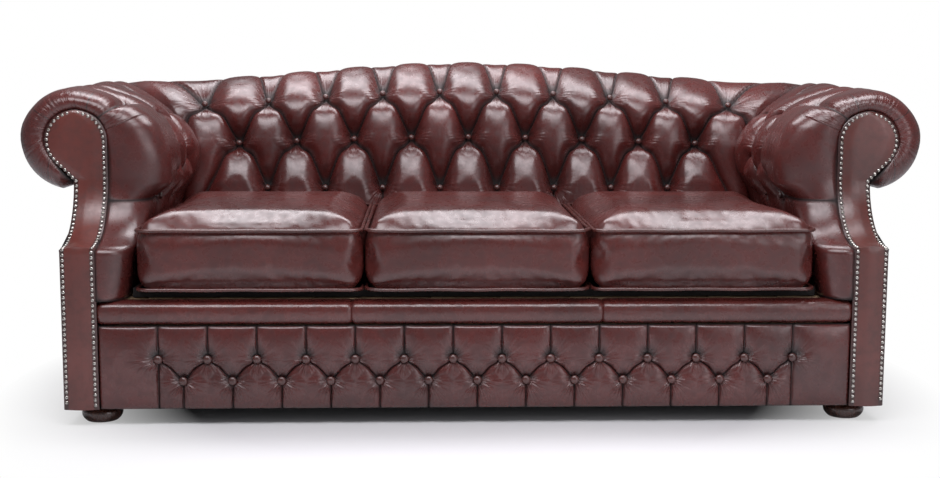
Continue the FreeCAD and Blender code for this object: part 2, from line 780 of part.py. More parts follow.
def knee_row():
    """The row at which the arm's front turns at the knee."""
    low, high = 0.0, 1.0
    for _ in range(40):
        middle = (low + high) / 2
        if along(ARM_Z, middle) < size("knee_height"):
            low = middle
        else:
            high = middle
    return (low + high) / 2


def arm_cells():
    """The cells of an arm, from the border round the facing to the mitre."""
    knee = knee_row()
    cells = []
    for low, high in ((0, knee), (knee, 1), (1, 2), (2, 3), (3, 4), (4, 5)):
        cells.append([(-1, low), (0, low), (0, high), (-1, high)])
    cells += [
        [(0, 0), (1, 0), (1, knee), (0, knee)],
        [(0, knee), (1, knee), (1, 1), (0, 1)],
        [(0, 1), (1, 1), (2, 2), (0, 2)],
        [(0, 2), (2, 2), (1, 3), (0, 3)],
        [(0, 3), (1, 3), (2, 4), (0, 4)],
        [(0, 4), (2, 4), (2, 5), (0, 5)],
    ]
    for column, inner_row, outer_row in ((1, 1, 2), (2, 2, 1), (3, 1, 2)):
        cells.append([(column, 0), (column + 1, 0), (column + 1, knee), (column, knee)])
        cells.append([(column, knee), (column + 1, knee), (column + 1, outer_row), (column, inner_row)])
    cells += [
        [(3, 1), (4, 2), (3, 3), (2, 2)],
        [(2, 2), (3, 3), (2, 4), (1, 3)],
        [(4, 2), (5, 3), (4, 4), (3, 3)],
        [(2, 4), (3, 3), (3, 5), (2, 5)],
        [(3, 3), (4, 4), (4, 5), (3, 5)],
        [(4, 0), (ARM_END, 0), (ARM_END, knee), (4, knee)],
        [(4, knee), (ARM_END, knee), (ARM_END, 1), (4, 2)],
        [(4, 2), (ARM_END, 1), (ARM_END, 3), (5, 3)],
        [(5, 3), (ARM_END, 3), (ARM_END, 4), (4, 4)],
        [(4, 4), (ARM_END, 4), (ARM_END, 5), (4, 5)],
    ]
    return cells


class FrontPanel(Pad):
    """The buttoned panel under the seat: an upper and a lower row, with straight pleats to its edges."""

    steps = 3
    last_row = 3

    def has_button(self, corner):
        column, row = corner
        return row in (1, 2) and (abs(column) + row) % 2 == 1 and abs(column) < self.end

    def corner_rise(self, corner):
        return 0 if self.has_button(corner) or abs(corner[0]) == self.end or corner[1] in (0, 3) else 4

    def edge_rise(self, start, end):
        (column_a, row_a), (column_b, row_b) = sorted((start, end))
        if abs(column_a) == abs(column_b) == self.end or row_a == row_b and row_a in (0, 3):
            return 0
        if column_a != column_b:
            return 3
        if abs(column_a) == self.end - 2:
            return 2
        return size("base_panel_fullness") if abs(row_a - row_b) == 2 else 1.5

    def middle_rise(self, cell):
        return size("base_panel_fullness") * 0.75

    def direction(self, column, row):
        return Vector(0, -1, 0)

    def outer(self, cell, across, up):
        column, row = self.place(cell, across, up)
        return self.point(column, row) + self.direction(column, row) * self.rise(cell, across, up)

    def inner(self, column, row):
        return self.point(column, row) - self.direction(column, row) * size("base_panel_thickness")


FRONT_ROWS = ("base_panel_bottom", "base_lower_row", "base_upper_row", "lip_bottom")
FRONT_END = int(size("base_upper_count")) + 1


def front_panel_point(column, row):
    low = min(int(row), 2)
    levels = [size(name) for name in FRONT_ROWS]
    levels[3] -= clear
    z = mix(levels[low], levels[low + 1], row - low)
    half_pitch = (size("facing_inner") - size("base_end_width")) / (FRONT_END - 2)
    x = column * half_pitch
    past = abs(column) - (FRONT_END - 2)
    if past > 0:
        reach = size("facing_inner") - clear
        x = math.copysign(mix((FRONT_END - 2) * half_pitch, reach, past / 2), column)
    return Vector(x, front + size("base_panel_fullness") + clear, z)


def front_panel_cells():
    end = FRONT_END
    cells = []
    for column in range(2 - end, end - 2, 2):
        cells.append([(column, 2), (column + 1, 1), (column + 1, 3), (column, 3)])
        cells.append([(column + 1, 1), (column + 2, 2), (column + 2, 3), (column + 1, 3)])
    for column in range(3 - end, end - 3, 2):
        cells.append([(column, 0), (column + 1, 0), (column + 1, 2), (column, 1)])
        cells.append([(column + 1, 0), (column + 2, 0), (column + 2, 1), (column + 1, 2)])
    right = [
        [(end - 2, 2), (end, 2), (end, 3), (end - 2, 3)],
        [(end - 3, 0), (end - 2, 0), (end - 2, 2), (end - 3, 1)],
        [(end - 2, 0), (end, 0), (end, 2), (end - 2, 2)],
    ]
    for cell in right:
        cells.append(cell)
        left = [(-column, row) for column, row in cell]
        cells.append([left[1], left[0], left[3], left[2]])
    return cells


def faceted(rings):
    """A solid through rings of points with as many points each, closed by a flat end at either side."""
    count = len(rings[0])
    points = [point for ring in rings for point in ring]
    triangles = []
    for level in range(len(rings) - 1):
        for index in range(count):
            first = level * count + index
            second = level * count + (index + 1) % count
            triangles.append((first, second, second + count))
            triangles.append((first, second + count, first + count))
    last = (len(rings) - 1) * count
    for index in range(1, count - 1):
        triangles.append((0, index + 1, index))
        triangles.append((last, last + index, last + index + 1))
    shell = Part.Shape()
    shell.makeShapeFromMesh((points, triangles), 1e-4)
    return Part.makeSolid(shell)


def ring(sides, radius, z):
    turns = [2 * math.pi * index / sides for index in range(sides)]
    return [Vector(radius * math.cos(turn), radius * math.sin(turn), z) for turn in turns]


def covered_button(centre, direction, radius, stem):
    """A leather-covered button on its tapered stem, a low dome that sits in its pit."""
    button = faceted([ring(6, size("tie_radius"), clear), ring(6, radius, stem),
                      ring(6, radius * 0.6, stem + size("button_height"))])
    button.Placement = FreeCAD.Placement(centre, FreeCAD.Rotation(Vector(0, 0, 1), direction))
    return button


def make_buttons(label, pad, radius, stem):
    shapes = []
    for column, row in pad.buttons():
        shapes.append(covered_button(pad.point(column, row), pad.direction(column, row), radius, stem))
    return feature(label, Part.makeCompound(shapes))


def make_pads():
    roll_rows = [1] + [2 + index / 4 for index in range(4 * (LAST_ROW - 2) + 1)]
    back_columns = list(range(-BACK_END, BACK_END + 1, 2))
    back = Pad(back_point, BACK_END, -BACK_END, back_cells(), back_columns, [0] + roll_rows)
    feature("back_pad", back.solid())
    arm = ArmPad(arm_point, ARM_END, 1, arm_cells(), [-1, 0, 2, 4, ARM_END], [0, knee_row()] + roll_rows)
    mirrored("left_arm_pad", feature("right_arm_pad", arm.solid()))
    panel = FrontPanel(front_panel_point, FRONT_END, 0, front_panel_cells(), [-FRONT_END, FRONT_END], [0, 3])
    feature("front_base_panel", panel.solid())
    deep_stem = 9
    shallow_stem = 5
    make_buttons("back_buttons", back, size("button_radius"), deep_stem)
    mirrored("left_arm_buttons", make_buttons("right_arm_buttons", arm, size("button_radius"), deep_stem))
    make_buttons("base_buttons", panel, size("base_button_radius"), shallow_stem)


def make_lip():
    """The padded roll on the front edge, sewn from three lengths of leather."""
    reach = size("facing_inner") - clear
    seam = size("facing_inner") / 3
    low = size("lip_bottom")
    top = lip_top
    bulge = 9
    rear = front + size("lip_depth")
    corners = [(front + bulge, low), (front, (low + top) / 2), (front + bulge, top - bulge), (front + 3 * bulge, top)]
    start, middle, shoulder, crest = [Vector(0, y, z) for y, z in corners]
    round_over = Vector(0, front + bulge * 1.6, top - bulge * 0.3)
    edges = [
        Part.Arc(start, middle, shoulder).toShape(),
        Part.Arc(shoulder, round_over, crest).toShape(),
        Part.makeLine(crest, Vector(0, rear, top)),
        Part.makeLine(Vector(0, rear, top), Vector(0, rear, low)),
        Part.makeLine(Vector(0, rear, low), start),
    ]
    section = Part.Face(Part.Wire(edges))
    rolls = []
    for begin, end in ((-reach, -seam), (-seam + clear, seam - clear), (seam, reach)):
        roll = section.copy()
        roll.translate(Vector(begin, 0, 0))
        rolls.append(roll.extrude(Vector(end - begin, 0, 0)))
    feature("front_lip", Part.makeCompound(rolls))


# Facings, stumps and outside panels. They follow the arm's front in side view and its scroll in front view.


def front_slab(near, far, low, top):
    """The space between two such lines, all the way across one side of the sofa."""
    outline = front_profile(near, low, top) + front_profile(far, low, top)[::-1]
    return prism([Vector(0, y, z) for y, z in outline], Vector(half_inner * 2, 0, 0))


def scroll_outline(low):
    """The facing's outline in front view: up the inner side, round the scroll, and down the outer side."""
    rows = [2 + index / 4 for index in range(4 * (LAST_ROW - 2) + 1)]
    outline = [(size("facing_inner"), low)]
    outline += [(along(FACING_X, row), along(FACING_Z, row)) for row in rows]
    x, z = outline[-1]
    slope = math.tan(math.radians(-SCROLL_END))
    outline.append((facing_outer, z - (x - facing_outer) / slope))
    outline.append((facing_outer, low))
    return outline


def scroll_prism(inset, low):
    """The facing's outline drawn in by an inset and moved back through the whole depth of the arm's front."""
    points = [Vector(x, front - 1, z) for x, z in scroll_outline(low)]
    face = Part.Face(Part.makePolygon(points + points[:1]))
    reach = size("ledge_radius") + size("facing_thickness") + size("post_thickness") + 10
    return face.makeOffset2D(-inset, 2).extrude(Vector(0, reach, 0))


def common(label, first, second):
    item = labelled(doc.addObject("Part::Common", label), label)
    item.Base = feature(label + "_outline", first)
    item.Tool = feature(label + "_profile", second)
    return item


def make_arm_fronts():
    thickness = size("facing_thickness")
    top = size("arm_roll_height") + size("scroll_radius") + 10
    low = size("base_bottom") - 2
    facing = common("right_facing", scroll_prism(2 * clear, low - 2 * clear), front_slab(0, thickness, low, top))
    mirrored("left_facing", facing)
    stump_inset = size("panel_thickness") + 2 * clear
    stump_low = nut_top + clear
    near = thickness + clear
    slab = front_slab(near, near + size("post_thickness"), stump_low, top)
    stump = common("right_arm_stump", scroll_prism(stump_inset, stump_low - stump_inset), slab)
    mirrored("left_arm_stump", stump)
    nails = feature("right_facing_nails", Part.makeCompound(facing_nails()))
    mirrored("left_facing_nails", nails)


def nail_line():
    """The nail line over the facing in 3-D, as close points: up the inner side, round the scroll and down."""
    low = size("base_bottom") + 8
    points = [Vector(x, 0, z) for x, z in scroll_outline(low - size("nail_inset"))]
    drawn_in = Part.Face(Part.makePolygon(points + points[:1])).makeOffset2D(-size("nail_inset"), 2)
    corners = [vertex.Point for vertex in drawn_in.OuterWire.OrderedVertexes]
    start = min(range(len(corners)), key=lambda index: corners[index].x + corners[index].z)
    corners = corners[start:] + corners[:start]
    if corners[1].x > corners[-1].x + 1:
        corners = corners[:1] + corners[:0:-1]
    places = []
    for begin, end in zip(corners, corners[1:]):
        count = int((end - begin).Length / 0.1)
        for index in range(count):
            place = mix(begin, end, index / count)
            places.append(Vector(place.x, facing_y(place.z), place.z))
    return places


def facing_nails():
    """Decorative nails, head to head along the line, each square to the leather under it."""
    shapes = []
    places = nail_line()
    travelled = 0.0
    wanted = 0.0
    for before, after in zip(places, places[1:]):
        if travelled >= wanted:
            if abs(before.z - size("knee_height")) + before.y - front > size("nail_radius") + clear:
                shapes.append(nail(before))
                wanted += size("nail_pitch")
            else:
                wanted += 1
        travelled += before.distanceToPoint(after)
    return shapes


def nail(place):
    step = 0.01
    slope = (facing_y(place.z + step) - facing_y(place.z - step)) / (2 * step)
    direction = Vector(0, -1, slope).normalize()
    rise = -size("nail_radius") * direction.y
    hollow = [place.y + slope * reach - facing_y(place.z + reach) for reach in (-rise, rise)]
    seat = (clear if slope else clear / 2) - max(0, *hollow) * direction.y
    points = ring(5, size("nail_radius"), seat) + [Vector(0, 0, seat + size("nail_height"))]
    triangles = [(index, (index + 1) % 5, 5) for index in range(5)] + [(0, 2, 1), (0, 3, 2), (0, 4, 3)]
    shell = Part.Shape()
    shell.makeShapeFromMesh((points, triangles), 1e-4)
    head = Part.makeSolid(shell)
    head.Placement = FreeCAD.Placement(place, FreeCAD.Rotation(Vector(0, 0, 1), direction))
    return head


def make_outside_panels():
    """Flat leather-covered panels that close the sides and the back, tucked up under the rolls."""
    near = size("facing_thickness") + clear
    low = size("base_bottom") - 2
    tuck = 2.5
    rear = back_panel_inner - clear
    begin = scroll_face + size("band_depth")
    end_z = arm_point(ARM_END, LAST_ROW).z
    top_rear = mix(ARM_Z[-1], end_z, (rear - begin) / (BACK_Y[-1] - begin)) - tuck
    top = ARM_Z[-1] - tuck
    outline = [(y, z) for y, z in front_profile(near, low, ledge_centre)[:-1] if z < top]
    radius = size("ledge_radius") + near
    outline.append((front + math.sqrt(radius**2 - (ledge_centre - top) ** 2) + 1, top))
    outline += [(begin, top), (rear, top_rear), (rear, low)]
    panel = prism([Vector(side_panel_inner, y, z) for y, z in outline], Vector(size("panel_thickness"), 0, 0))
    mirrored("left_outside_arm_panel", feature("right_outside_arm_panel", panel))
    steps = 16
    top = []
    for index in range(steps + 1):
        x = side_panel_outer * (1 - 2 * index / steps)
        z = BACK_Z[-1]
        top.append(Vector(x, back_panel_inner, z - crest_fall(x, z) - tuck))
    corners = [Vector(-side_panel_outer, back_panel_inner, low), Vector(side_panel_outer, back_panel_inner, low)]
    feature("outside_back_panel", prism(corners + top, Vector(0, size("panel_thickness"), 0)))


# The back frame and the wooden core of the scrolls.


def make_back_frame():
    """Top rail and posts of the back, and the tapered wooden core of each arm's scroll."""
    rail = 36
    thickness = size("post_thickness")
    reach = foot_x + thickness
    centre = size("back_roll_height") - 10

    def rail_line(rise):
        steps = 12
        places = [reach * (2 * index / steps - 1) for index in range(steps + 1)]
        return [Vector(x, back_roll_y - rail / 2, centre + rise - crest_fall(x, size("back_roll_height"))) for x in places]

    outline = rail_line(-rail / 2) + rail_line(rail / 2)[::-1]
    feature("back_top_rail", prism(outline, Vector(0, rail, 0)))
    margin = 5
    base = size("frame_top") + clear
    inner_low = BACK_Y[0] + size("pad_thickness") + margin
    inner_high = BACK_Y[3] + size("pad_thickness") + margin
    rear = back_panel_inner - 15
    pitch = (2 * half_inner - 2 * size("strap_width")) / (size("seat_strap_count") - 1)
    posts = []
    for x in (-2 * pitch, 0, 2 * pitch):
        top = centre - rail / 2 - crest_fall(abs(x) + thickness, size("back_roll_height")) - clear
        left = x - thickness / 2
        outline = [(inner_low, base + 4), (rear_y, base + 4), (rear_y, base), (rear, base), (rear, top), (inner_high, top)]
        posts.append(feature(f"post_{len(posts)}", prism([Vector(left, y, z) for y, z in outline],
                                                         Vector(thickness, 0, 0))))
    group("back_posts", posts)
    corner_front = rear - 50
    corner_low = nut_top + clear
    corner_top = centre - crest_fall(reach, size("back_roll_height")) - rail / 2 - clear
    floor = [Vector(foot_x, corner_front, corner_low), Vector(reach, corner_front, corner_low),
             Vector(reach, rear, corner_low), Vector(foot_x, rear, corner_low)]
    mirrored("left_corner_post", feature("right_corner_post", prism(floor, Vector(0, 0, corner_top - corner_low))))
    core_front = scroll_face + size("facing_thickness") + thickness + 2 * clear
    core_rear = corner_front - clear
    share = (core_rear - scroll_face) / (back_roll_y - scroll_face)
    rise = (size("back_roll_height") - crest_fall(scroll_x, size("back_roll_height")) - size("arm_roll_height")) * share
    core_radius = size("arm_roll_radius") - size("pad_thickness") - 13

    def core_ring(y, z, radius):
        turns = [math.pi * (2 * index + 1) / 12 for index in range(12)]
        return [Vector(scroll_x + radius * math.cos(turn), y, z - radius * math.sin(turn)) for turn in turns]

    rings = [core_ring(core_front, size("arm_roll_height"), core_radius),
             core_ring(core_rear, size("arm_roll_height") + rise - 4, core_radius - 18)]
    mirrored("left_scroll_core", feature("right_scroll_core", faceted(rings)))


# Seat cushions: a foam core in a boxed leather cover, corded along its upper and lower seams.


def rounded_outline(x, z, inset, radius):
    """The outline of a cushion in plan, with its left edge at x, drawn in by an inset."""
    left, right = x + inset + radius, x + cushion_width - inset - radius
    near, far = front + inset + radius, front + size("cushion_depth") - inset - radius
    points = []
    for centre_x, centre_y, angle in ((left, near, 180), (right, near, 270), (right, far, 0), (left, far, 90)):
        for turn in (angle, angle + 45, angle + 90):
            around = math.radians(turn)
            points.append(Vector(centre_x + radius * math.cos(around), centre_y + radius * math.sin(around), z))
    return points


def cushion_levels():
    """The bottom of a cushion and the middles of its two pipings."""
    low = deck_top + clear
    return low, low + size("piping_radius"), low + size("cushion_height")


CROWN = [(0.55, 11), (0.85, 47), (1.0, 120)]


def cushion_outside(x):
    """A boxed cushion: a channel for each piping, sides that draw in, and a crown."""
    low, lower_seam, upper_seam = cushion_levels()
    half_channel = size("piping_radius") + clear
    groove = 2 * half_channel
    wall = size("boxing_inset")
    corner = size("cushion_corner")
    crown_start = upper_seam + half_channel
    levels = [(low, groove), (lower_seam + half_channel, groove), (lower_seam + half_channel, wall),
              ((lower_seam + upper_seam) / 2, wall + size("cushion_waist")), (upper_seam - half_channel, wall),
              (upper_seam - half_channel, groove), (crown_start, groove), (crown_start, wall)]
    climb = size("cushion_crown") - half_channel
    levels += [(crown_start + climb * share, wall + inset) for share, inset in CROWN]
    return faceted([rounded_outline(x, z, inset, corner) for z, inset in levels])


def cushion_inside(x, shrink):
    """The room in a cushion's cover, or the foam that fills it."""
    low, lower_seam, upper_seam = cushion_levels()
    half_channel = size("piping_radius") + clear
    groove = 2 * half_channel + shrink
    wall = size("boxing_inset") + shrink
    corner = size("cushion_corner") - shrink
    crown_start = upper_seam + half_channel - shrink
    climb = size("cushion_crown") - half_channel
    levels = [(low + shrink, groove), ((lower_seam + upper_seam) / 2, wall + size("cushion_waist")),
              (upper_seam - shrink, groove)]
    levels += [(crown_start + climb * share, wall + inset) for share, inset in CROWN]
    return faceted([rounded_outline(x, z, inset, corner) for z, inset in levels])


def piping_loop(x, z):
    """A cord round a cushion, six-sided, with its outer side on the cushion's outline."""
    radius = size("piping_radius")
    path = rounded_outline(x, z, radius, size("cushion_corner") - radius)
    count = len(path)
    points = []
    triangles = []
    for index, place in enumerate(path):
        along_path = path[(index + 1) % count] - path[index - 1]
        aside = Vector(along_path.y, -along_path.x, 0).normalize()
        for turn in range(6):
            angle = math.pi * turn / 3
            points.append(place + aside * (radius * math.cos(angle)) + Vector(0, 0, radius * math.sin(angle)))
    for index in range(count):
        for turn in range(6):
            here, after = index * 6, (index + 1) % count * 6
            following = (turn + 1) % 6
            triangles.append((here + turn, here + following, after + following))
            triangles.append((here + turn, after + following, after + turn))
    shell = Part.Shape()
    shell.makeShapeFromMesh((points, triangles), 1e-4)
    return Part.makeSolid(shell)


def make_cushions():
    step = cushion_width + size("cushion_gap")
    low, lower_seam, upper_seam = cushion_levels()
    for index, side in enumerate(("left", "middle", "right")):
        x = (index - 1) * step - cushion_width / 2
        cover = labelled(doc.addObject("Part::Cut", f"{side}_cushion_cover"), f"{side}_cushion_cover")
        cover.Base = feature(f"{side}_cushion_outside", cushion_outside(x))
        cover.Tool = feature(f"{side}_cushion_inside", cushion_inside(x, size("cover_thickness")))
        feature(f"{side}_cushion_foam", cushion_inside(x, size("cover_thickness") + clear))
        loops = [piping_loop(x, lower_seam), piping_loop(x, upper_seam)]
        feature(f"{side}_cushion_piping", Part.makeCompound(loops))


spring_y, rear_y, side_x = make_base_frame()
make_feet()
make_dust_cover()
make_suspension(spring_y, rear_y, side_x)
make_back_frame()
make_pads()
make_lip()
make_arm_fronts()
make_outside_panels()
make_cushions()
doc.recompute()

NODES = [
    "front_rail", "rear_rail", "spring_rail", "left_side_rail", "right_side_rail", "foot_blocks",
    "front_feet", "rear_feet", "foot_bolts", "foot_tee_nuts",
    "dust_cover", "seat_webbing_lengthwise", "seat_webbing_crosswise", "seat_deck",
    "back_top_rail", "back_posts", "left_corner_post", "right_corner_post",
    "left_arm_stump", "right_arm_stump", "left_scroll_core", "right_scroll_core",
    "back_pad", "left_arm_pad", "right_arm_pad", "front_base_panel", "front_lip",
    "left_facing", "right_facing", "left_facing_nails", "right_facing_nails",
    "left_outside_arm_panel", "right_outside_arm_panel", "outside_back_panel",
    "back_buttons", "left_arm_buttons", "right_arm_buttons", "base_buttons",
]
for side in ("left", "middle", "right"):
    NODES += [f"{side}_cushion_cover", f"{side}_cushion_foam", f"{side}_cushion_piping"]

for item in doc.Objects:
    if "Invalid" in item.State or "Error" in item.State:
        raise RuntimeError(f"{item.Label} is in state {item.State}")
by_label = {item.Label: item for item in doc.Objects}
for node in NODES:
    shape = by_label[node].Shape
    if shape.isNull() or not shape.isValid() or not shape.Solids:
        raise RuntimeError(f"{node} has no sound solid")
    if shape.Volume < 0:
        raise RuntimeError(f"{node} is inside out")
for node in NODES:
    by_label[node].Shape.exportStep(f"parts/{node}.step")
box_all = Part.makeCompound([by_label[node].Shape for node in NODES]).optimalBoundingBox(False)
print("overall", [round(value, 1) for value in (box_all.XMin, box_all.XMax, box_all.YMin, box_all.YMax, box_all.ZMin,
                                                 box_all.ZMax)])
print("nodes", len(NODES))
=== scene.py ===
import math

import bpy
import numpy as np
from mathutils import Matrix, Vector


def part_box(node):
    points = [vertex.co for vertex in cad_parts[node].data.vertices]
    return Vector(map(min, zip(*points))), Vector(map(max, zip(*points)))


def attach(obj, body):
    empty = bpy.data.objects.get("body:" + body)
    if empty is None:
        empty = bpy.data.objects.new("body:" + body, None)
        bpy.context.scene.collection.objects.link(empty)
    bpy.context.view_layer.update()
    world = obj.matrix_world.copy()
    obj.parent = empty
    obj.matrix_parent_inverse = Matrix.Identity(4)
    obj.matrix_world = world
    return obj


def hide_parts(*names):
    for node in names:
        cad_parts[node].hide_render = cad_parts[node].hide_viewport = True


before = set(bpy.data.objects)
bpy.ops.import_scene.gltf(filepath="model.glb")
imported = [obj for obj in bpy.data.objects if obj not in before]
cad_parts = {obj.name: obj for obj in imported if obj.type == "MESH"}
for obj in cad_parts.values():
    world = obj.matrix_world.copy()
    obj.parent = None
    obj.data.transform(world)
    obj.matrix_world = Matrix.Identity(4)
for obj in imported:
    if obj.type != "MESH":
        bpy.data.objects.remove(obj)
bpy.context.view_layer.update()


# The photographer's studio: a camera on a stand a little left of the middle, a pale floor, a white room, and
# three soft lamps, one over the front of the seat, one over the back and one low fill.

camera = bpy.data.objects.new("camera", bpy.data.cameras.new("camera"))
bpy.context.scene.collection.objects.link(camera)
camera.data.sensor_width = 36
camera.data.lens = 52.72
camera.location = (-0.1199, -3.4038, 0.7822)
heading, tilt, lean = math.radians(-1.97), math.radians(90 - 7.09), math.radians(0.18)
turn = Matrix.Rotation(heading, 3, "Z") @ Matrix.Rotation(tilt, 3, "X") @ Matrix.Rotation(lean, 3, "Z")
camera.rotation_euler = turn.to_euler()
bpy.context.scene.camera = camera


def put_away():
    """Deselects everything before new work starts."""
    bpy.ops.object.select_all(action="DESELECT")


def new_material(name, colour, roughness):
    """A plain finish to build on: the material, its node tree and its shader."""
    material = bpy.data.materials.new(name)
    material.use_nodes = True
    shader = material.node_tree.nodes["Principled BSDF"]
    shader.inputs["Base Color"].default_value = (*colour, 1)
    shader.inputs["Roughness"].default_value = roughness
    return material, material.node_tree, shader


def node(tree, kind, inputs=(), **settings):
    """A shader node; inputs are pairs of a socket and what it gets, a value or another node's output."""
    made = tree.nodes.new(kind)
    for name, value in settings.items():
        setattr(made, name, value)
    for socket, value in inputs:
        if isinstance(value, bpy.types.NodeSocket):
            tree.links.new(value, made.inputs[socket])
        else:
            made.inputs[socket].default_value = value
    return made


def blend_colours(tree, share, first, second):
    """The first colour where share is 0, the second where it is 1."""
    colours = [(*colour, 1) if isinstance(colour, tuple) else colour for colour in (first, second)]
    mixed = node(tree, "ShaderNodeMix", [(0, share), (6, colours[0]), (7, colours[1])], data_type="RGBA")
    return mixed.outputs[2]


def scaled(tree, value, low, high, low_out=0.0, high_out=1.0):
    """A value between low and high, carried over to the range from low_out to high_out."""
    ends = [(1, low), (2, high), (3, low_out), (4, high_out)]
    return node(tree, "ShaderNodeMapRange", [(0, value), *ends]).outputs[0]


def reckoned(tree, operation, first, second):
    return node(tree, "ShaderNodeMath", [(0, first), (1, second)], operation=operation).outputs[0]


def on_piece(tree, stretch=None):
    """The place on the piece itself, in metres, stretched along each axis if asked."""
    place = node(tree, "ShaderNodeTexCoord").outputs["Object"]
    if stretch:
        place = node(tree, "ShaderNodeMapping", [("Vector", place), ("Scale", stretch)]).outputs[0]
    return place


def finish_with(tree, shader, **patterns):
    """Gives a shader a pattern for each of its sockets named; an underscore stands for a space."""
    for socket, pattern in patterns.items():
        tree.links.new(pattern, shader.inputs[socket.replace("_", " ")])


def patches(tree, place, scale, detail, **more):
    """Soft random patches, from 0 to 1."""
    sizes = [("Vector", place), ("Scale", scale), ("Detail", detail)]
    return node(tree, "ShaderNodeTexNoise", [*sizes, *more.items()]).outputs[0]


put_away()
bpy.ops.mesh.primitive_plane_add(size=14, location=(0, 2, -0.0005))
floor = bpy.context.active_object
floor.name = "studio_floor"
floor_paint, tree, shader = new_material("studio_floor_paint", (0.86, 0.86, 0.87), 0.55)
place = on_piece(tree)
cloud = patches(tree, place, 1.5, 2)
finish_with(tree, shader, Base_Color=blend_colours(tree, cloud, (0.66, 0.66, 0.67), (0.70, 0.70, 0.71)))
ray = node(tree, "ShaderNodeLightPath")
round_camera = [("Vector", place), ("Location", (0, 2.4, 0)), ("Scale", (1.3, 1.2, 1))]
from_camera = node(tree, "ShaderNodeMapping", round_camera).outputs[0]
away = node(tree, "ShaderNodeVectorMath", [(0, from_camera)], operation="LENGTH").outputs["Value"]
seen = reckoned(tree, "MULTIPLY", scaled(tree, away, 0.92, 1.5), ray.outputs["Is Camera Ray"])
white = node(tree, "ShaderNodeEmission", [("Color", (1, 1, 1, 1)), ("Strength", 1.0)]).outputs[0]
faded = node(tree, "ShaderNodeMixShader", [(0, seen), (1, shader.outputs[0]), (2, white)])
tree.links.new(faded.outputs[0], tree.nodes["Material Output"].inputs["Surface"])
floor.data.materials.append(floor_paint)

room = bpy.data.worlds.new("white_room")
bpy.context.scene.world = room
room.use_nodes = True
tree = room.node_tree
tree.nodes.clear()
ray = node(tree, "ShaderNodeLightPath")
seen = reckoned(tree, "MAXIMUM", ray.outputs["Is Camera Ray"], ray.outputs["Is Transmission Ray"])
lighting = node(tree, "ShaderNodeBackground", [("Color", (0.95, 0.97, 1, 1)), ("Strength", 0.22)])
white = node(tree, "ShaderNodeBackground", [("Color", (1, 1, 1, 1)), ("Strength", 1.0)])
both = node(tree, "ShaderNodeMixShader", [(0, seen), (1, lighting.outputs[0]), (2, white.outputs[0])])
node(tree, "ShaderNodeOutputWorld", [(0, both.outputs[0])])

for name, spot, aim, width, height, power in (
        ("seat_lamp", (-0.4, -1.9, 2.9), (0, 0, 0.35), 3.6, 1.3, 104),
        ("crest_lamp", (0.2, 0.5, 2.8), (0, 0, 0.6), 3.4, 1.0, 92),
        ("fill_lamp", (2.4, -3.2, 1.4), (0, 0, 0.4), 1.8, 1.8, 26)):
    lamp = bpy.data.objects.new(name, bpy.data.lights.new(name, "AREA"))
    lamp.data.shape = "RECTANGLE"
    lamp.data.size, lamp.data.size_y, lamp.data.energy = width, height, power
    lamp.data.color = (0.98, 0.96, 1)
    lamp.location = spot
    lamp.rotation_euler = (Vector(aim) - Vector(spot)).to_track_quat("-Z", "Y").to_euler()
    bpy.context.scene.collection.objects.link(lamp)


# The beech frame: planed rails, posts, stumps, corner blocks and scroll cores, glued and dowelled together.
# None of it shows once the leather is on.

def dress(material, *names):
    """Gives CAD pieces, whose shapes are right as they are, their finish."""
    for name in names:
        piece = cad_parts[name]
        if not piece.material_slots:
            piece.data.materials.append(material)
        for held in piece.material_slots:
            held.material = material


def raised(tree, height, strength, distance, *under):
    """Relief of a height, laid over the relief under it."""
    sizes = [("Height", height), ("Strength", strength), ("Distance", distance)]
    return node(tree, "ShaderNodeBump", sizes + [("Normal", relief) for relief in under]).outputs[0]


beech, tree, shader = new_material("planed_beech", (0.56, 0.38, 0.22), 0.6)
rings = patches(tree, on_piece(tree, (2, 30, 30)), 4, 6, Distortion=0.6)
finish_with(tree, shader, Base_Color=blend_colours(tree, rings, (0.42, 0.26, 0.14), (0.68, 0.49, 0.31)),
            Roughness=scaled(tree, rings, 0.3, 0.7, 0.5, 0.7), Normal=raised(tree, rings, 0.3, 0.001))
dress(beech, "front_rail", "rear_rail", "spring_rail", "left_side_rail", "right_side_rail", "foot_blocks",
      "back_top_rail", "back_posts", "left_corner_post", "right_corner_post", "left_arm_stump",
      "right_arm_stump", "left_scroll_core", "right_scroll_core")


# Four bun feet, turned from mahogany, stained dark and polished, with a small bead round each. A bolt holds
# each foot up in its corner block.

FOOT_RADIUS = 0.045
FOOT_MIDDLE = 0.0185
FOOT_TOP = 0.0375


def pick_up(piece):
    """Makes a piece the one that the next step works on."""
    put_away()
    piece.select_set(True)
    bpy.context.view_layer.objects.active = piece


def finished(piece, name, *materials):
    """Names a piece, gives it its finish, and sets its place into its mesh."""
    pick_up(piece)
    bpy.ops.object.transform_apply(location=True, rotation=True, scale=True)
    piece.name = name
    piece.data.materials.clear()
    for material in materials:
        piece.data.materials.append(material)
    return piece


def joined(pieces):
    """Several objects as one."""
    put_away()
    for piece in pieces:
        piece.select_set(True)
    bpy.context.view_layer.objects.active = pieces[0]
    bpy.ops.object.join()
    return bpy.context.active_object


def cut_level(x, y, z, **cleared):
    """Cuts the picked mesh level at z, clears what lies beyond and fills the cut."""
    bpy.ops.mesh.select_all(action="SELECT")
    bpy.ops.mesh.bisect(plane_co=(x, y, z), plane_no=(0, 0, 1), use_fill=True, **cleared)


